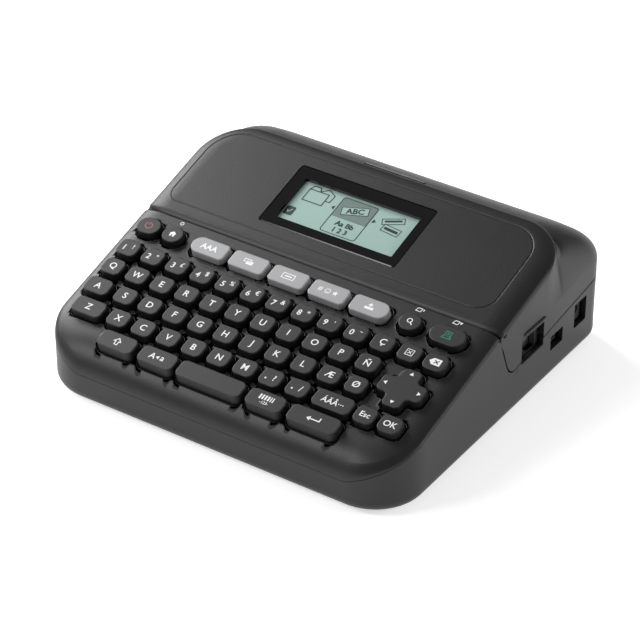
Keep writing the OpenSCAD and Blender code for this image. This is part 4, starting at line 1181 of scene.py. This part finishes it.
lip_swell = np.sqrt(np.clip(1 - np.abs(np.linspace(-1, 1, 15)) ** 8, 0.02, 1))
lip_rows = np.stack([lip_line + np.column_stack([0.9 * math.cos(a) * lip_swell, 0 * lip_swell,
                                                 1.1 * math.sin(a) * lip_swell])
                     for a in np.linspace(0, 2 * math.pi, 13)])
lip = sheet(lip_rows)
if np.sum(lip[2][:, 0] * (lip[0][:, 0] - HALF)) < 0:
    lip = flipped(lip)
cover_parts += [lip, lid_on(lip_rows[:-1, 0], True), lid_on(lip_rows[:-1, -1])]
build("rear_cover_skin", "lid", cover_parts, [lid_black], slot="lid_plastic", replaces=["rear_cover"])

# ---- Works inside -------------------------------------------------------------------------------
# What the lid covers: the dark bay plate with its steel screws, the grey tape cassette with its
# spools, acetal gears, the steel print head and cutter, the rubber platen, and under the keys the
# silicone mat and the circuit boards. They keep their designed shapes and get their own finishes.

rubber = finish("rubber", (0.016, 0.016, 0.017), 0.75, grain=1800.0, depth=0.00004)
silicone = finish("silicone", (0.05, 0.05, 0.052), 0.6, grain=700.0)
board_green = finish("board_green", (0.012, 0.09, 0.035), 0.35, grain=500.0, depth=0.000015, vary=0.25)
steel = finish("steel", (0.55, 0.55, 0.56), 0.32, grain=2500.0, depth=0.000008, vary=0.06, metal=1.0)
frame_black = finish("frame_black", (0.026, 0.026, 0.028), 0.5, grain=900.0)
cassette_grey = finish("cassette_grey", (0.42, 0.42, 0.40), 0.38, grain=1200.0, vary=0.04)
tape_white = finish("tape_white", (0.78, 0.78, 0.76), 0.4, grain=900.0, vary=0.02)
acetal = finish("acetal", (0.70, 0.67, 0.58), 0.4, grain=900.0, vary=0.04)
brass = finish("brass", (0.62, 0.42, 0.16), 0.3, grain=2000.0, depth=0.000006, vary=0.08, metal=1.0)
cell_wrap = finish("cell_wrap", (0.32, 0.19, 0.05), 0.3, grain=300.0, depth=0.000005, vary=0.1, metal=0.4)
inside = {"foot_pads": rubber, "battery_door": case_black, "batteries": cell_wrap, "battery_contacts": steel,
          "cassette_bay": frame_black, "bay_screws": steel, "hinge_pins": steel, "key_mat": silicone,
          "key_board": board_green, "dpad_pivot": frame_black, "display_board": board_green,
          "release_button": lid_black, "cassette_base": cassette_grey, "cassette_cover": cassette_grey,
          "tape_spool": tape_white, "ribbon_supply_spool": frame_black, "ribbon_takeup_spool": frame_black,
          "label_tape": tape_white, "print_head": steel, "head_arm": steel, "platen_roller": rubber,
          "platen_gear": acetal, "idler_gear_1": acetal, "idler_gear_2": acetal, "takeup_spindle": acetal,
          "drive_motor": steel, "motor_pinion": brass, "cutter_blade": steel, "cutter_frame": frame_black,
          "dc_jack": frame_black, "usb_port": steel}
for name, material in inside.items():
    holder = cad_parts[name]
    holder.data.materials.clear()
    holder.data.materials.append(material)

# ---- Floor and light ----------------------------------------------------------------------------
# A plain pale floor that glows faintly, under three soft lamps: a broad one on the left, a smaller one
# in front on the left and a weak one on the right, in an even pale surround.

floor_mesh = bpy.data.meshes.new("studio_floor")
floor_mesh.from_pydata([(-3, -3, 0), (3, -3, 0), (3, 3, 0), (-3, 3, 0)], [], [(0, 1, 2, 3)])
floor = bpy.data.objects.new("studio_floor", floor_mesh)
bpy.context.scene.collection.objects.link(floor)
paper = finish("studio_paper", (0.86, 0.86, 0.86), 0.9, grain=300.0, depth=0.00001, vary=0.01, shine=0.0)
glow = paper.node_tree.nodes["Principled BSDF"]
glow.inputs["Emission Color"].default_value = (1.0, 1.0, 1.0, 1.0)
glow.inputs["Emission Strength"].default_value = 0.6
floor_mesh.materials.append(paper)


def lamp(name, place, aim, size, power):
    """Soft square lamp at a place, turned towards its aim."""
    light = bpy.data.lights.new(name, "AREA")
    light.size = size
    light.energy = power
    holder = bpy.data.objects.new(name, light)
    holder.location = place
    holder.rotation_euler = (Vector(aim) - Vector(place)).to_track_quat("-Z", "Y").to_euler()
    bpy.context.scene.collection.objects.link(holder)


lamp("left_lamp", (-1.05, 0.3, 0.75), (-0.02, 0, 0.03), 0.6, 16.0)
lamp("front_lamp", (-0.62, -0.78, 0.85), (0, -0.05, 0.02), 0.45, 7.0)
lamp("right_lamp", (1.1, 0.35, 0.6), (0, 0.02, 0.03), 0.4, 4.0)
world = bpy.data.worlds.new("studio_surround")
bpy.context.scene.world = world
world.use_nodes = True
world.node_tree.nodes["Background"].inputs["Color"].default_value = (1.0, 1.0, 1.0, 1.0)
world.node_tree.nodes["Background"].inputs["Strength"].default_value = 0.28
bpy.context.scene.view_settings.view_transform = "Standard"
